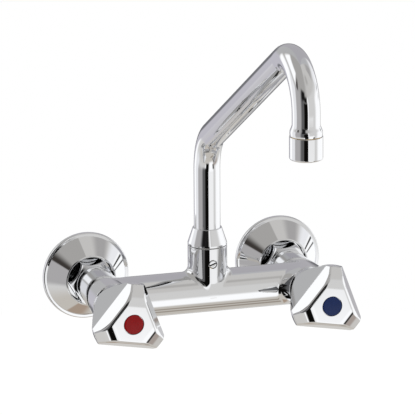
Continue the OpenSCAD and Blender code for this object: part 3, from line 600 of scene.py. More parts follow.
@dataclass
class WallConnection:
    """Cranked union in the wall, the spun flange over it and the union nut in the flange's cup."""

    axes: Axes
    flange: tuple[Corner, ...] = (
        (33.0, 0.0, 0.1), (33.0, 2.9, 1.2), (30.4, 3.1, 0.25), (19.35, 17.25, 0.5), (18.62, 17.6, 0.3),
        (17.92, 17.25, 0.3), (17.92, 8.9, 0.5), (13.27, 8.9, 0.1), (13.27, 6.4, 0.1), (19.12, 6.4, 0.6),
        (19.12, 15.7, 0.4), (29.2, 1.9, 0.3), (31.8, 1.7, 0.3), (31.8, 0.0, 0.1))
    nut_af: float = 30.0
    nut_back: float = 12.0
    nut_front: float = 28.0
    nut_chamfer: float = 1.1
    nut_bore_r: float = 13.27
    nut_edge: float = 0.3
    nut_edge_deg: float = 20.0
    shoulder_bore_r: float = 10.3
    shoulder_t: float = 2.4
    stub_drop: float = 6.0
    stub_len: float = 14.0
    thread_crest_r: float = 10.45
    thread_root_r: float = 9.4
    # Pitch of the pipe thread, 14 turns to the inch
    thread_pitch: float = 1.814
    thread_turns: int = 6
    thread_start: float = 1.2
    thread_sunk: float = 0.1
    half_crest: float = 0.12
    # Half the width of the ridge's foot, as a share of the pitch
    half_foot: float = 0.47
    plate_r: float = 12.22
    plate_t: float = 6.0
    nut_thread_r: float = 13.22
    union_len: float = 20.0
    union_edge: float = 0.4
    pipe_bore_r: float = 6.5
    mixer_bore_r: float = 8.0
    bore_skin: float = 1.5

    def bar(self, radius: float, low: float, high: float, drop: float = 0.0) -> BMesh:
        """Returns a closed round bar from one height to another, moved down the wall by a drop."""
        place = Matrix.Translation((0, -drop, (low + high) / 2))
        return round_bar(bmesh.new(), place, high - low, radius, sides=96)

    def thread(self) -> BMesh:
        """Returns the ridge of the pipe thread, wound round the stub."""
        root, crest = self.thread_root_r - self.thread_sunk, self.thread_crest_r
        foot = self.half_foot * self.thread_pitch
        start = -self.stub_len + self.thread_start
        steps = 48
        bm = bmesh.new()
        ridge = [(root, start - foot), (crest, start - self.half_crest), (crest, start + self.half_crest),
                 (root, start + foot)]
        face = bm.faces.new([bm.verts.new((r, 0, h)) for r, h in ridge])
        bmesh.ops.spin(bm, geom=[face], cent=(0, 0, 0), axis=(0, 0, 1),
                       dvec=(0, 0, self.thread_pitch / steps), angle=self.thread_turns * TURN,
                       steps=self.thread_turns * steps)
        bmesh.ops.translate(bm, verts=bm.verts, vec=(0, -self.stub_drop, 0))
        bmesh.ops.recalc_face_normals(bm, faces=bm.faces)
        return bm

    def union(self) -> BMesh:
        """Returns the union: threaded stub in the wall, cranked plate and the seat of the nut."""
        past = 1
        plate = block(Matrix.Translation((0, -self.stub_drop / 2, self.plate_t / 2)),
                      (2 * self.plate_r, self.stub_drop, self.plate_t))
        body = combine(self.bar(self.nut_thread_r, 0, self.union_len), [
            self.bar(self.plate_r, 0, self.plate_t, self.stub_drop), plate,
            self.bar(self.thread_root_r, -self.stub_len, self.plate_t / 2, self.stub_drop)], "UNION")
        ease_edges(body, self.union_edge)
        body = combine(body, [
            self.bar(self.pipe_bore_r, -self.stub_len - past, self.plate_t - self.bore_skin, self.stub_drop),
            self.bar(self.mixer_bore_r, self.bore_skin, self.union_len + past)])
        ridge = bpy.data.meshes.new("ridge")
        wound = self.thread()
        wound.to_mesh(ridge)
        wound.free()
        body.from_mesh(ridge)
        bpy.data.meshes.remove(ridge)
        return body

    def nut(self) -> BMesh:
        """Returns the hexagon nut, turned with its chamfers and then milled on six sides."""
        half_af = self.nut_af / 2
        corner_r = half_af / cos(radians(30))
        chamfer_r = corner_r - self.nut_chamfer
        shoulder = self.nut_front - self.shoulder_t
        bm = lathe([
            (self.nut_bore_r, self.nut_back), (chamfer_r, self.nut_back),
            (corner_r, self.nut_back + self.nut_chamfer), (corner_r, self.nut_front - self.nut_chamfer),
            (chamfer_r, self.nut_front), (self.shoulder_bore_r, self.nut_front),
            (self.shoulder_bore_r, shoulder), (self.nut_bore_r, shoulder)])
        for k in range(6):
            angle = radians(30 + 60 * k)
            normal = (cos(angle), sin(angle), 0)
            slice_off(bm, [half_af * c for c in normal], normal)
        past_bore = 0.5
        ease_edges(bm, self.nut_edge, self.nut_edge_deg, out=self.nut_bore_r + past_bore)
        return bm

    def build(self) -> list[Object]:
        """Returns the finished pieces of both sides."""
        pieces = []
        for side, place in self.axes.valve.items():
            for bm, name, node, weighted in (
                    (self.union(), "union_cranked", "wall_union", False),
                    (lathe(rounded(self.flange), 192), "flange_spun", "wall_flange", True),
                    (self.nut(), "nut_milled", "union_nut", True)):
                pieces.append(settle(bm, f"{side.value}_{name}", place, CHROME, "tap_body",
                                     [f"{side.value}_{node}"], weighted=weighted))
        return pieces


@dataclass(frozen=True)
class End:
    """A square end of the body, with its rounded rim and its bores.

    Attributes:
        point: Where the end's axis meets the start of the rim's rounding.
        out: Direction that leads out of the end.
        radius: Radius of the end at the rim.
        edge: Rounding of the rim.
        bores: Radius and depth of each step of the bore.
        chamfer: Chamfer at the mouth of the bore.
    """

    point: Vector
    out: Vector
    radius: float
    edge: float
    bores: Bores
    chamfer: float = 0.3

    def rings(self) -> Profile:
        """Returns radius and height beyond the point of each ring of the rim, the face and the bores."""
        steps = 4
        turns = [pi / 2 * k / steps for k in range(1, steps + 1)]
        rings = [(self.radius - self.edge + self.edge * cos(a), self.edge * sin(a)) for a in turns]
        rings.append((self.bores[0][0] + self.chamfer, self.edge))
        top = self.edge - self.chamfer
        for bore, depth in self.bores:
            rings += [(bore, top), (bore, self.edge - depth)]
            top = self.edge - depth
        return rings

    def finish(self, bm: BMesh, reach: float) -> None:
        """Cuts the end square and grows its rim, face and bore from the cut.

        Args:
            bm: Mesh of the skin.
            reach: How far from the point the mesh is cut.
        """
        snap = 0.02
        near = [f for f in bm.faces if (f.calc_center_median() - self.point).length < reach]
        geom = list({v for f in near for v in f.verts}) + list({e for f in near for e in f.edges}) + near
        cut = bmesh.ops.bisect_plane(bm, geom=geom, dist=snap, plane_co=self.point, plane_no=self.out,
                                     clear_outer=True)
        edges = open_edges(cut["geom_cut"])
        for radius, height in self.rings():
            edges = open_edges(bmesh.ops.extrude_edge_only(bm, edges=edges)["geom"])
            for vert in {v for e in edges for v in e.verts}:
                spoke = vert.co - self.point
                spoke -= self.out * spoke.dot(self.out)
                vert.co = self.point + spoke.normalized() * radius + self.out * height
        bmesh.ops.edgeloop_fill(bm, edges=edges)


@dataclass
class MixerBody:
    """Cast body: two valve arms, the bar between them and the spout's socket, in one polished skin.

    Its own axes stand on the spout's: X along the bar, Y towards the wall, Z up. A fillet shrinks to its
    least share where the two surfaces face the same way, and the arms' fillet fades out towards their axes.
    """

    axes: Axes
    centres: float = 150.0
    bar_r: float = 15.5
    arm_back: float = 39.6
    arm_front: float = -17.0
    arm_back_r: float = 13.75
    arm_front_r: float = 17.0
    arm_edge: float = 0.8
    front_bores: Bores = ((10.53, 9.0), (11.6, 33.0), (6.5, 36.0))
    back_bores: Bores = ((10.05, 11.3), (6.5, 14.0))
    socket_r: float = 14.5
    socket_top: float = 35.6
    socket_edge: float = 0.4
    socket_bores: Bores = ((11.1, 23.6),)
    arm_fillet: float = 10.0
    arm_fillet_least: float = 0.15
    arm_fillet_fade: float = 8.0
    socket_fillet: float = 5.0
    socket_fillet_least: float = 0.35
    voxel: float = 0.9
    screw_hole_r: float = 3.3
    screw_hole_y: float = -14.0
    screw_hole_len: float = 6.0

    def skin(self, p: np.ndarray) -> np.ndarray:
        """Gives the distance from the filleted skin.

        Args:
            p: Points, one a row.

        Returns:
            Distance of each point, negative inside.
        """
        x, y, z = np.abs(p[:, 0]), p[:, 1], p[:, 2]
        slope = (self.arm_front_r - self.arm_back_r) / (self.arm_back - self.arm_front)
        bar_r, socket_r = np.hypot(y, z), np.hypot(x, y)
        out = x - self.centres / 2
        arm_r = np.hypot(out, z)
        bar = bar_r - self.bar_r
        arm = (arm_r - self.arm_front_r + (y - self.arm_front) * slope) * cos(atan(slope))
        socket = np.maximum(socket_r - self.socket_r, -z)
        bar_end = np.maximum(bar, out)
        tiny = 1e-6
        facing_arm = z * z / (bar_r * arm_r + tiny)
        facing_socket = y * y / (bar_r * socket_r + tiny)
        near = np.clip((self.centres / 2 - x) / self.arm_fillet_fade, 0, 1)
        arm_k = self.arm_fillet * np.clip(1 - facing_arm, self.arm_fillet_least, 1) * near + tiny
        socket_k = self.socket_fillet * np.clip(1 - facing_socket, self.socket_fillet_least, 1)

        def join(a: np.ndarray, b: np.ndarray, k: np.ndarray) -> np.ndarray:
            """Joins two shapes with a round fillet of radius k."""
            return np.maximum(k, np.minimum(a, b)) - np.hypot(np.maximum(k - a, 0), np.maximum(k - b, 0))

        return join(join(bar_end, arm, arm_k), socket, socket_k)

    def slope(self, p: np.ndarray) -> np.ndarray:
        """Gives the outward direction of the skin at each point.

        Args:
            p: Points, one a row.

        Returns:
            Gradients of the distance, one a row.
        """
        step = 0.01
        sides = [(self.skin(p + d) - self.skin(p - d)) / (2 * step) for d in np.eye(3) * step]
        return np.stack(sides, axis=1)

    def settle_on_skin(self, bm: BMesh, rounds: int = 3) -> None:
        """Moves every vertex onto the skin.

        Args:
            bm: Mesh near the skin.
            rounds: Steps of the search.
        """
        least = 0.05
        p = np.array([v.co for v in bm.verts])
        for _ in range(rounds):
            g = self.slope(p)
            p -= g * (self.skin(p) / np.maximum((g * g).sum(1), least))[:, None]
        for vert, place in zip(bm.verts, p):
            vert.co = place

    def shell(self) -> BMesh:
        """Returns the skin as one mesh, with its five ends still too long."""
        spare = 3.0
        half = self.centres / 2
        bm = round_bar(bmesh.new(), Matrix.Rotation(pi / 2, 4, "Y"), self.centres, self.bar_r)
        length = self.arm_back - self.arm_front + 2 * spare
        flare = (self.arm_front_r - self.arm_back_r) / (self.arm_back - self.arm_front) * spare
        middle = (self.arm_back + self.arm_front) / 2
        for x in (-half, half):
            turn = Matrix.Translation((x, middle, 0)) @ Matrix.Rotation(-pi / 2, 4, "X")
            round_bar(bm, turn, length, self.arm_front_r + flare, self.arm_back_r - flare)
        height = self.socket_top + spare
        round_bar(bm, Matrix.Translation((0, 0, height / 2)), height, self.socket_r)
        casting = loose_object("casting", bm)
        remesh = casting.modifiers.new("skin", "REMESH")
        remesh.mode = "VOXEL"
        remesh.voxel_size = self.voxel
        bm = baked(casting)
        self.settle_on_skin(bm)
        for _ in range(4):
            bmesh.ops.smooth_vert(bm, verts=bm.verts, factor=0.5, use_axis_x=True, use_axis_y=True,
                                  use_axis_z=True)
            self.settle_on_skin(bm, 2)
        return bm

    def ends(self) -> list[End]:
        """Returns the two ends of each arm and the end of the socket."""
        front, back = self.arm_front + self.arm_edge, self.arm_back - self.arm_edge
        ends = []
        for x in (-self.centres / 2, self.centres / 2):
            for y, way, radius, bores in ((front, -1, self.arm_front_r, self.front_bores),
                                          (back, 1, self.arm_back_r, self.back_bores)):
                ends.append(End(Vector((x, y, 0)), Vector((0, way, 0)), radius, self.arm_edge, bores))
        top = Vector((0, 0, self.socket_top - self.socket_edge))
        return ends + [End(top, Vector((0, 0, 1)), self.socket_r, self.socket_edge, self.socket_bores)]

    def build(self) -> list[Object]:
        """Returns the finished body, in a list."""
        bm = self.shell()
        for end in self.ends():
            end.finish(bm, 2 * self.arm_front_r)
        place = Matrix.Translation((0, self.screw_hole_y, SCREW_H)) @ Matrix.Rotation(pi / 2, 4, "X")
        hole = round_bar(bmesh.new(), place, self.screw_hole_len, self.screw_hole_r, sides=48)
        bmesh.ops.recalc_face_normals(bm, faces=bm.faces)
        obj = settle(combine(bm, [hole]), "mixer_body_cast", self.axes.spout, CHROME, "tap_body",
                     ["mixer_body"], weighted=False)
        self.true_normals(obj)
        return [obj]

    def true_normals(self, obj: Object) -> None:
        """Gives the faces of the skin and of the rims their exact normals.

        Args:
            obj: The finished body.
        """
        skin_gap, same_way = 0.06, 0.9
        past_rim, short_of_rim = 0.1, 0.02
        mesh = obj.data
        co = np.empty(len(mesh.vertices) * 3)
        mesh.vertices.foreach_get("co", co)
        p = (co.reshape(-1, 3) - np.array(self.axes.spout.translation)) / MM
        exact = self.slope(p)
        exact /= np.maximum(np.linalg.norm(exact, axis=1), 1e-6)[:, None]
        on_skin = np.abs(self.skin(p)) < skin_gap
        corner = np.empty(len(mesh.loops) * 3)
        mesh.corner_normals.foreach_get("vector", corner)
        normals = corner.reshape(-1, 3)
        ends = [(np.array(end.point), np.array(end.out), end) for end in self.ends()]
        for poly in mesh.polygons:
            loops = list(poly.loop_indices)
            verts = list(poly.vertices)
            if on_skin[verts].all() and float(np.dot(exact[verts].mean(0), poly.normal)) > same_way:
                normals[loops] = exact[verts]
                continue
            for point, out, end in ends:
                arm = p[verts] - point
                height = arm @ out
                spoke = arm - height[:, None] * out
                reach = np.linalg.norm(spoke, axis=1)
                inner = end.radius - end.edge
                if (reach.max() < end.radius + past_rim and reach.min() > inner - short_of_rim
                        and abs(height.mean()) < end.edge):
                    beyond = np.maximum(reach - end.radius + end.edge, 0) / reach
                    turned = spoke * beyond[:, None] + np.maximum(height, 0)[:, None] * out
                    normals[loops] = turned / np.linalg.norm(turned, axis=1)[:, None]
        mesh.normals_split_custom_set(normals.tolist())


@dataclass
class Handle:
    """Three-armed handle with its button, on the valve's axis."""

    axes: Axes
    back: float = 85.6
    front: float = 134.3
    neck_r: float = 17.0
    tip_r: float = 28.5
    # Share of the flare that bows inwards
    flare_bow: float = 0.2
    facet_r: float = 19.4
    slant_depth: float = 10.0
    slant_deg: float = 28.0
    front_flat_r: float = 12.6
    sweep_deg: float = 36.0
    sweep_r: float = 18.0
    turn_deg: float = 10.0
    edge: float = 0.45
    # Milled sides shorter and folds flatter than these are cleared before the rounding
    least_side: float = 0.1
    flat_deg: float = 0.4
    # Least fold of an edge that is rounded
    round_deg: float = 17.0
    soft_edge: float = 2.1
    soft_steps: int = 5
    soft_end_r: float = 26.5
    soft_fade: float = 7.5
    # Outline of what is bored out: hollow, hub, spline bore, screw hole and the wall of the screw's well
    bored: Bores = (
        (14.5, 99.5), (16.0, 114.0), (7.5, 114.0), (7.5, 99.5), (4.15, 99.5), (4.15, 114.0), (2.8, 114.0),
        (2.8, 117.0), (4.95, 117.0))
    recess_r: float = 7.5
    recess_floor: float = 130.7
    recess_edge: float = 0.2
    button_r: float = 7.15
    button_edge: float = 0.6
    button_gap: float = 0.05
    spigot_r: float = 4.9
    spigot_len: float = 4.0
    dome: float = 1.0

    def blank(self) -> BMesh:
        """Returns the turned blank, solid and flat at both ends."""
        steps = 12
        rim = self.front - self.slant_depth - 2
        flare = [(0, self.back)]
        for k in range(steps + 1):
            t = k / steps
            out = (1 - self.flare_bow) * t + self.flare_bow * t * t
            flare.append((self.neck_r + (self.tip_r - self.neck_r) * out, self.back + (rim - self.back) * t))
        return lathe(flare + [(self.tip_r, self.front), (0, self.front)], closed=False)

    def borings(self) -> BMesh:
        """Returns what is bored out, from behind the back to before the front with the button's recess."""
        past = 2
        low, high = self.back - past, self.front + past
        return lathe([(0, low), (self.bored[0][0], low), *self.bored, (self.bored[-1][0], self.recess_floor),
                      (self.recess_r, self.recess_floor), (self.recess_r, high), (0, high)], closed=False)

    def sweep(self, angle: float) -> BMesh:
        """Makes the cutter that lets one arm's face fall away smoothly from the flat front.

        Args:
            angle: Direction of the arm, in radians.

        Returns:
            A closed mesh.
        """
        end = radians(self.sweep_deg)
        steps = 12
        points = [(self.front_flat_r + self.sweep_r * sin(a), self.front - self.sweep_r * (1 - cos(a)))
                  for a in (end * k / steps for k in range(steps + 1))]
        last_r, last_h = points[-1]
        past, above = self.tip_r + 4, self.front + 20
        points += [(past, last_h - (past - last_r) * tan(end)), (past, above), (self.front_flat_r, above)]
        bm = prism(points, 4 * self.tip_r)
        bmesh.ops.rotate(bm, verts=bm.verts, cent=(0, 0, 0), matrix=Matrix.Rotation(angle, 3, "Z"))
        return bm

    def casting(self) -> BMesh:
        """Returns the finished handle: facets milled, arms swept back, edges eased."""
        bm = self.blank()
        slant = radians(self.slant_deg)
        corner_h = self.front - self.slant_depth
        up = Vector((0, 0, 1))
        arms = [radians(90 - self.turn_deg + 120 * k) for k in range(3)]
        for arm in arms:
            facing = arm + pi / 3
            out = Vector((cos(facing), sin(facing), 0))
            slice_off(bm, out * self.facet_r, out)
            slice_off(bm, out * self.facet_r + up * corner_h, out * cos(slant) + up * sin(slant))
        bm = combine(bm, [self.sweep(arm) for arm in arms])
        bmesh.ops.remove_doubles(bm, verts=bm.verts, dist=self.least_side)
        bmesh.ops.dissolve_limit(bm, angle_limit=radians(self.flat_deg), verts=bm.verts, edges=bm.edges)
        bmesh.ops.recalc_face_normals(bm, faces=bm.faces)
        bm = round_by_share(bm, self.soft_edge, self.rounding, self.soft_steps)
        bm = combine(bm, [self.borings()], solver="FAST")
        near = 0.1
        ease_edges(bm, self.recess_edge, low=self.front - near, out=self.recess_r - near)
        return bm

    def rounding(self, edge: BMEdge) -> float:
        """Gives an edge's share of the soft rounding.

        The polishing wheel rounds the edge between a slanted facet and the front far more than the others,
        and less towards the tips of the arms.

        Args:
            edge: Edge of the milled casting.

        Returns:
            The share, 0 for an edge that stays.
        """
        middle = (edge.verts[0].co + edge.verts[1].co) / 2
        at_neck = middle.z < self.back + 1
        if at_neck or len(edge.link_faces) != 2 or edge.calc_face_angle() < radians(self.round_deg):
            return 0.0
        low, high = sorted(face.normal.z for face in edge.link_faces)
        slant = sin(radians(self.slant_deg))
        least = self.edge / self.soft_edge
        # One face is the slanted facet and the other faces more to the front
        on_slant, to_front = abs(low - slant) <= 0.005, high >= slant + 0.01
        if not (on_slant and to_front):
            return least
        return min(1.0, max(least, (self.soft_end_r - middle.xy.length) / self.soft_fade))

    def button(self) -> BMesh:
        """Returns the domed index button with its spigot."""
        crown = self.dome / 2
        edge = self.button_edge
        foot = self.recess_floor + self.button_gap
        shoulder = self.front + self.dome - crown - edge
        skin = [(self.button_r, foot)]
        for k in range(7):
            a = radians(80 * k / 6)
            skin.append((self.button_r - edge + edge * cos(a), shoulder + edge * sin(a)))
        for k in range(1, 13):
            t = 1 - k / 12
            skin.append(((self.button_r - edge) * t, shoulder + edge + crown * (1 - t * t)))
        low = foot - self.spigot_len
        return lathe([(0, low), (self.spigot_r, low), (self.spigot_r, foot)] + skin, 96, closed=False)

    def build(self) -> list[Object]:
        """Returns both finished handles and both buttons."""
        pieces = []
        for side, place in self.axes.valve.items():
            body = f"{side.value}_handle_set"
            pieces.append(settle(self.casting(), f"{side.value}_handle_cast", place, CHROME, body,
                                 [f"{side.value}_handle"], sharp_deg=38))
            finish = RED_PLASTIC if side is Side.HOT else BLUE_PLASTIC
            pieces.append(settle(self.button(), f"{side.value}_button_domed", place, finish, body,
                                 [f"{side.value}_index_button"], weighted=False))
        return pieces


@dataclass
class Spout:
    """Bent tube with its cone collar, retaining screw and aerator housing."""

    axes: Axes
    tube_r: float = 9.75
    wall: float = 1.0
    foot: float = 38.1
    riser_h: float = 114.0
    rise_deg: float = 29.0
    reach: float = 236.0
    low_bend_r: float = 36.0
    high_bend_r: float = 32.0
    bend_step_deg: float = 2.5
    end_h: float = 176.6
    end_edge: float = 0.25
    flare_r: float = 11.3
    flare_len: float = 8.0
    flare_lip: float = 2.4
    sides: int = 72
    collar: tuple[Corner, ...] = (
        (14.5, 36.1, 0.3), (14.5, 37.6, 0.4), (10.75, 49.0, 0.35), (9.8, 49.0, 0.1), (9.8, 38.2, 0.0),
        (12.4, 38.2, 0.0), (12.4, 36.1, 0.1))
    # The screw's outline, from the end that holds the nipple to the slotted face
    screw_side: tuple[Corner, ...] = (
        (0, 8.3, 0), (1.7, 8.3, 0.3), (1.7, 11.5, 0), (2.75, 11.5, 0.2), (2.75, 14.35, 0.3), (0, 14.35, 0))
    # Length, width and twice the depth of the screw's slot
    screw_slot: tuple[float, float, float] = (8.0, 1.0, 3.6)
    screw_turn_deg: float = 20.0
    screw_edge: float = 0.08
    slide_ring: tuple[Corner, ...] = (
        (11.15, 35.62, 0.0), (13.2, 35.62, 0.1), (13.2, 36.08, 0.1), (11.15, 36.08, 0.0))
    aerator: tuple[Corner, ...] = (
        (10.65, 176.2, 0.1), (11.6, 176.2, 0.35), (11.6, 160.0, 2.8), (8.5, 160.0, 0.25), (8.5, 161.5, 0.1),
        (9.75, 161.5, 0.0), (9.75, 168.3, 0.0), (10.65, 168.3, 0.0))

    def stations(self) -> list[tuple[float, float, float, float]]:
        """Returns reach, height, direction above level in degrees and radius along the tube's line."""
        low_run = self.low_bend_r * tan(radians(90 - self.rise_deg) / 2)
        high_run = self.high_bend_r * tan(radians(90 + self.rise_deg) / 2)
        top_h = self.riser_h + self.reach * tan(radians(self.rise_deg))
        r = self.tube_r
        line = [(0.0, self.foot, 90.0, r)]
        for centre, bend_r, start, end in (
                ((self.low_bend_r, self.riser_h - low_run), self.low_bend_r, 90.0, self.rise_deg),
                ((self.reach - self.high_bend_r, top_h - high_run), self.high_bend_r, self.rise_deg, -90.0)):
            steps = round(abs(end - start) / self.bend_step_deg)
            for k in range(steps + 1):
                a = start + (end - start) * k / steps
                s, c = sin(radians(a)), cos(radians(a))
                line.append((centre[0] - bend_r * s, centre[1] + bend_r * c, a, r))
        start_h = self.end_h + self.flare_len
        for k in range(13):
            t = k / 12
            ease = t * t * (3 - 2 * t)
            line.append((self.reach, start_h - (self.flare_len - self.flare_lip) * t, -90.0,
                         r + (self.flare_r - r) * ease))
        edge = self.end_edge
        for up, inwards in ((edge, 0.0), (edge * 0.3, edge * 0.3), (0.0, edge)):
            line.append((self.reach, self.end_h + up, -90.0, self.flare_r - inwards))
        return line

    def tube(self) -> BMesh:
        """Returns the bent and flared tube, open at both ends."""
        outside = self.stations()
        inside = [(s, h, a, r - self.wall) for s, h, a, r in outside[:-2]]
        rings = outside + [(self.reach, self.end_h, -90.0, self.flare_r - self.wall)] + inside[::-1]
        bm = bmesh.new()
        bmesh.ops.create_circle(bm, cap_ends=False, radius=1, segments=self.sides)
        first = edges = bm.edges[:]
        before = Matrix.Identity(4)
        across = Vector((1, 0, 0))
        for k, (s, h, a, r) in enumerate(rings):
            a = radians(a)
            along = Vector((0, -cos(a), sin(a)))
            here = Matrix((across * r, along.cross(across) * r, along * r)).transposed().to_4x4()
            here.translation = (0, -s, h)
            if k:
                edges = open_edges(bmesh.ops.extrude_edge_only(bm, edges=edges)["geom"])
            moved = list({v for e in edges for v in e.verts})
            bmesh.ops.transform(bm, matrix=here @ before.inverted(), verts=moved)
            before = here
        bmesh.ops.bridge_loops(bm, edges=edges + first)
        bmesh.ops.recalc_face_normals(bm, faces=bm.faces)
        return bm

    def screw(self) -> BMesh:
        """Returns the slotted retaining screw, its Z leading out of the socket."""
        face = self.screw_side[-1][1]
        turn = Matrix.Rotation(radians(self.screw_turn_deg), 4, "Z")
        slot = block(Matrix.Translation((0, 0, face)) @ turn, self.screw_slot)
        bm = combine(lathe(rounded(self.screw_side, closed=False), 64, closed=False), [slot])
        ease_edges(bm, self.screw_edge, low=face - 0.2)
        return bm

    def build(self) -> list[Object]:
        """Returns the finished pieces of the spout."""
        up, outlet = self.axes.spout, self.axes.outlet
        facing = up @ Matrix.Translation((0, 0, SCREW_H * MM)) @ Matrix.Rotation(pi / 2, 4, "X")
        return [
            settle(self.tube(), "spout_tube_bent", up, CHROME, "spout", ["spout_tube"], weighted=False),
            settle(lathe(rounded(self.collar)), "spout_collar_turned", up, CHROME, "spout",
                   ["spout_collar"]),
            settle(lathe(rounded(self.slide_ring)), "spout_slide_ring_turned", up, WHITE_PLASTIC, "tap_body",
                   ["spout_slide_ring"]),
            settle(self.screw(), "spout_stop_screw_slotted", facing, SCREW_CHROME, "tap_body",
                   ["spout_stop_screw"]),
            settle(lathe(rounded(self.aerator, 8)), "aerator_housing_turned", outlet, CHROME, "spout",
                   ["aerator_housing"]),
        ]


def fade(tree: NodeTree, value: NodeSocket, edge: float, soft: float, rising: bool) -> NodeSocket:
    """Adds a soft step.

    Args:
        tree: The world's node tree.
        value: What the step depends on.
        edge: Value at the step's middle.
        soft: Half of the step's width.
        rising: Whether the step leads up to 1, or down from it.

    Returns:
        The step, from 0 to 1.
    """
    low, high = (0.0, 1.0) if rising else (1.0, 0.0)
    step = add_node(tree, "MapRange", {
        "Value": value, "From Min": edge - soft, "From Max": edge + soft, "To Min": low, "To Max": high,
    }, interpolation_type="SMOOTHSTEP")
    return step.outputs["Result"]


@dataclass(frozen=True)
class Panel:
    """One light or dark board of the studio, seen by the metal.

    Attributes:
        azimuth: Its left and right edge in degrees, 0 in front of the tap and 90 on its right.
        elevation: Its lower and upper edge in degrees.
        soft: How gradually its left, right, lower and upper edges fade, in degrees.
        tone: Its sRGB grey.
    """

    azimuth: tuple[float, float]
    elevation: tuple[float, float]
    soft: tuple[float, float, float, float]
    tone: str

    def edges(self) -> list[tuple[int, float, float, bool]]:
        """Returns the axis, angle, softness and rise of each edge that doesn't lie on the sky's own edge."""
        angles = self.azimuth + self.elevation
        edges = [(k // 2, angles[k], self.soft[k], k % 2 == 0) for k in range(4)]
        return [edge for edge in edges if abs(edge[1]) not in (90, 180)]


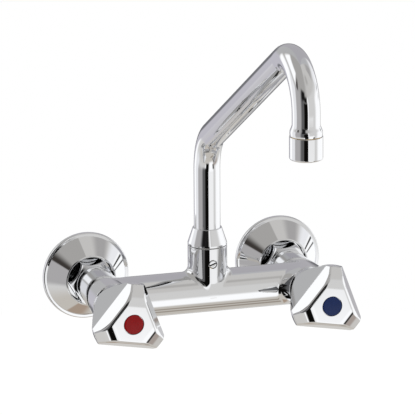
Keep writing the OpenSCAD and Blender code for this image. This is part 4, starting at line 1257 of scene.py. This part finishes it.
@dataclass
class Studio:
    """Boards round the tap, the floor under it, a soft key lamp and the camera."""

    ground: str = "#BDB8B0"
    level: str = "#CBCAC8"
    ceiling: str = "#AEAEB0"
    # Height in degrees at which each tone starts, and how gradually
    level_start: tuple[float, float] = (-42, 16)
    ceiling_start: tuple[float, float] = (34, 12)
    mirror_gain: float = 1.25
    panels: tuple[Panel, ...] = (
        Panel((-180, 2), (17, 90), (8, 18, 5, 1), "#A19F9C"),
        Panel((-6, 105), (28, 90), (16, 8, 6, 1), "#BFBDBA"),
        Panel((8, 33), (48, 66), (8, 6, 5, 5), "#A9A7A4"),
        Panel((129, 180), (-9, 90), (3, 1, 4, 1), "#A6A4A8"),
        Panel((-180, -154), (-14, 90), (1, 4, 6, 1), "#ACACAC"),
        Panel((-180, -154), (-48, 1), (1, 5, 6, 4), "#B7B5BC"),
        Panel((-180, -173), (-30, 4), (1, 4, 6, 6), "#6A6A6E"),
        Panel((150, 180), (-30, 4), (8, 1, 6, 6), "#6A6A6E"),
        Panel((-155, -126), (-24, 13), (3, 6, 5, 5), "#FCFCFC"),
        Panel((-126, -98), (-32, 14), (6, 4, 5, 5), "#E2E2E4"),
        Panel((-98, -34), (-24, 26), (5, 12, 6, 6), "#A6A4A4"),
        Panel((-56, -34), (-26, 30), (9, 8, 6, 6), "#585859"),
        Panel((-36, -3), (-27, 15), (7, 1.5, 4, 4), "#0B0A09"),
        Panel((-28, -8), (14, 25), (5, 2, 3, 4), "#161615"),
        Panel((-3, 4), (-26, 24), (1, 3, 4, 4), "#F2F2F2"),
        Panel((64, 128), (-30, 15), (12, 3, 6, 7), "#FAFAFA"),
        Panel((94, 128), (10, 28), (4, 3, 4, 8), "#E6E6E8"),
        Panel((76, 106), (36, 62), (6, 6, 6, 8), "#A19F9E"),
        Panel((105, 115), (4, 7), (3, 3, 1, 1), "#2A2826"),
        Panel((107, 117), (-3, -1), (3, 3, 1, 1), "#2A2826"),
        Panel((-150, -92), (22, 45), (6, 4, 5, 4), "#FCFCFC"),
        Panel((-50, -22), (16, 34), (6, 6, 4, 4), "#1A1919"),
        Panel((-89, -76), (21, 36), (3, 4, 2, 9), "#3A3633"),
        Panel((-27, -1), (-44, -18), (3, 1.5, 4, 4), "#0B0A09"),
        Panel((-34, -29), (-38, -28), (2, 2, 3, 3), "#FAFAFA"),
        Panel((4, 42), (-49, -14.6), (5, 5, 6, 7), "#FAFAFA"),
        Panel((36, 49), (-39, -24), (2, 4, 3, 3), "#3A3735"),
        Panel((48, 88), (-48, -33), (5, 14, 3, 3), "#A1968F"),
        Panel((-180, -156), (-90, -62), (1, 5, 1, 4), "#A08F80"),
        Panel((150, 180), (-90, -58), (5, 1, 1, 5), "#A08F80"),
        Panel((20, 64), (-70, -64), (8, 6, 1.5, 1.5), "#938A80"),
        Panel((78, 118), (-76, -69), (8, 8, 2, 2), "#958C82"),
    )
    # Angle round the view's direction in which the metal mirrors the plain backdrop
    backdrop_deg: float = 5.0
    backdrop_soft: float = 0.001
    floor_z: float = -0.27
    floor_r: float = 0.9
    floor_glow: float = 1.12
    floor_glow_share: float = 0.8
    lamp_size: float = 1.2
    lamp_watts: float = 26.0
    lamp_place: tuple[float, float, float] = (-0.9, -1.7, 1.5)
    azimuth: float = -16.56
    elevation: float = 15.52
    roll: float = -0.33
    pivot: tuple[float, float, float] = (0.002681, -0.06, 0.06725)
    distance: float = 3.1716
    lens: float = 374.0

    def back(self) -> Vector:
        """Returns the direction from the tap to the camera."""
        a, e = radians(self.azimuth), radians(self.elevation)
        return Vector((sin(a) * cos(e), -cos(a) * cos(e), sin(e)))

    def tones(self, tree: NodeTree, ray: NodeSocket) -> NodeSocket:
        """Paints the boards on the sky, one over the other.

        Args:
            tree: The world's node tree.
            ray: Direction that is looked in.

        Returns:
            The sky's colour.
        """
        x, y, z = add_node(tree, "SeparateXYZ", {0: ray}).outputs
        ahead = add_node(tree, "Math", {0: y, 1: -1.0}, operation="MULTIPLY").outputs[0]
        turn = add_node(tree, "Math", {0: x, 1: ahead}, operation="ARCTAN2").outputs[0]
        rise = add_node(tree, "Math", {0: z}, operation="ARCSINE").outputs[0]
        angles = [add_node(tree, "Math", {0: angle}, operation="DEGREES").outputs[0]
                  for angle in (turn, rise)]
        ground = add_node(tree, "RGB")
        ground.outputs[0].default_value = linear(self.ground)
        tone = ground.outputs[0]
        layers = [(self.level, [(1, *self.level_start, True)]),
                  (self.ceiling, [(1, *self.ceiling_start, True)])]
        layers += [(panel.tone, panel.edges()) for panel in self.panels]
        for colour, edges in layers:
            mask = None
            for axis, angle, soft, rising in edges:
                step = fade(tree, angles[axis], angle, soft, rising)
                mask = step if mask is None else add_node(
                    tree, "Math", {0: mask, 1: step}, operation="MULTIPLY").outputs[0]
            tone = add_node(tree, "Mix", {0: mask, 6: tone, 7: linear(colour)}, data_type="RGBA").outputs[2]
        return tone

    def boards(self) -> None:
        """Makes the world: boards for the metal, and plain white behind the tap for the camera."""
        world = bpy.data.worlds.new("studio")
        bpy.context.scene.world = world
        tree = empty_tree(world)
        ray = add_node(tree, "TexCoord").outputs["Generated"]
        boards = add_node(tree, "Background", {"Color": self.tones(tree, ray), "Strength": self.mirror_gain})
        white = add_node(tree, "Background", {"Color": (1, 1, 1, 1), "Strength": 1.0})
        path = add_node(tree, "LightPath").outputs
        onward = add_node(tree, "VectorMath", {0: ray, 1: -self.back()},
                          operation="DOT_PRODUCT").outputs["Value"]
        backdrop = fade(tree, onward, cos(radians(self.backdrop_deg)), self.backdrop_soft, True)
        bounced = add_node(tree, "Math", {0: path["Is Glossy Ray"], 1: path["Is Transmission Ray"]},
                           operation="ADD").outputs[0]
        mirrored = add_node(tree, "Math", {0: bounced, 1: backdrop}, operation="MULTIPLY").outputs[0]
        seen = add_node(tree, "Math", {0: path["Is Camera Ray"], 1: mirrored},
                        operation="ADD", use_clamp=True).outputs[0]
        shown = add_node(tree, "MixShader", {0: seen, 1: boards.outputs[0], 2: white.outputs[0]})
        add_node(tree, "OutputWorld", {"Surface": shown.outputs[0]})

    def floor(self) -> None:
        """Lays the round pale floor, which stays white for the camera and keeps the tap's shadow."""
        bm = bmesh.new()
        bmesh.ops.create_circle(bm, cap_ends=True, radius=self.floor_r, segments=96,
                                matrix=Matrix.Translation((0, -0.1, self.floor_z)))
        obj = loose_object("floor", bm)
        made = bpy.data.materials.new("matt_white_floor")
        tree = empty_tree(made)
        place = add_node(tree, "TexCoord").outputs["Object"]
        grain = add_node(tree, "TexNoise", {"Vector": place, "Scale": 60.0, "Detail": 3.0}).outputs["Fac"]
        tint = add_node(tree, "Mix", {0: grain, 6: linear("#F8F8F7"), 7: linear("#F5F5F4")},
                        data_type="RGBA")
        paint = add_node(tree, "BsdfDiffuse", {"Color": tint.outputs[2]}).outputs[0]
        glow = add_node(tree, "Emission", {"Color": (1, 1, 1, 1), "Strength": self.floor_glow}).outputs[0]
        path = add_node(tree, "LightPath").outputs["Is Camera Ray"]
        share = add_node(tree, "Math", {0: path, 1: self.floor_glow_share}, operation="MULTIPLY").outputs[0]
        both = add_node(tree, "MixShader", {0: share, 1: paint, 2: glow})
        add_node(tree, "OutputMaterial", {"Surface": both.outputs[0]})
        obj.data.materials.append(made)
        obj.visible_glossy = False

    def lamp(self) -> None:
        """Hangs a large soft lamp up on the left, which the metal doesn't mirror."""
        light = bpy.data.lights.new("key", "AREA")
        light.shape = "DISK"
        light.size = self.lamp_size
        light.energy = self.lamp_watts
        obj = in_scene("key", light)
        obj.location = self.lamp_place
        aim = Vector(self.pivot) - obj.location
        obj.rotation_euler = aim.to_track_quat("-Z", "Y").to_euler()
        obj.visible_glossy = False

    def camera(self) -> None:
        """Sets the camera at the photograph's viewing angle."""
        data = bpy.data.cameras.new("camera")
        data.sensor_width = 36.0
        data.lens = self.lens
        obj = in_scene("camera", data)
        a, roll = radians(self.azimuth), radians(self.roll)
        back = self.back()
        right = Vector((cos(a), sin(a), 0))
        up = back.cross(right)
        right, up = right * cos(roll) + up * sin(roll), up * cos(roll) - right * sin(roll)
        place = Matrix((right, up, back)).transposed().to_4x4()
        place.translation = Vector(self.pivot) + back * self.distance
        obj.matrix_world = place
        bpy.context.scene.camera = obj

    def build(self) -> None:
        """Builds the studio."""
        self.boards()
        self.floor()
        self.lamp()
        self.camera()
        bpy.context.scene.view_settings.view_transform = "Standard"


def dress(frame: dict) -> None:
    """Gives every CAD node that still shows the finish of its slot.
    """
    ordered = (CHROME, BRASS, STEEL, RUBBER, FIBRE, WHITE_PLASTIC, RED_PLASTIC, BLUE_PLASTIC)
    finishes = {finish.slot: finish for finish in ordered}
    for part in frame["record"]["subparts"]:
        finish = finishes[part["material_slot"]]
        if finish is BRASS and part["node"] in ("spout_nipple", "outlet_ring"):
            finish = SPOUT_BRASS
        mesh = frame["nodes"][part["node"]].data
        mesh.materials.clear()
        mesh.materials.append(finish.material())


def main() -> None:
    """Builds the tap and its studio in order."""
    logging.basicConfig(level=logging.INFO, format="%(name)s: %(message)s")
    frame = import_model()
    axes = Axes.read(frame)
    Studio().build()
    dress(frame)
    for group in (WallConnection(axes), MixerBody(axes), Handle(axes), Spout(axes)):
        for piece in group.build():
            LOG.info("%s: %d faces", piece.name, len(piece.data.polygons))


if __name__ == "__main__":
    main()
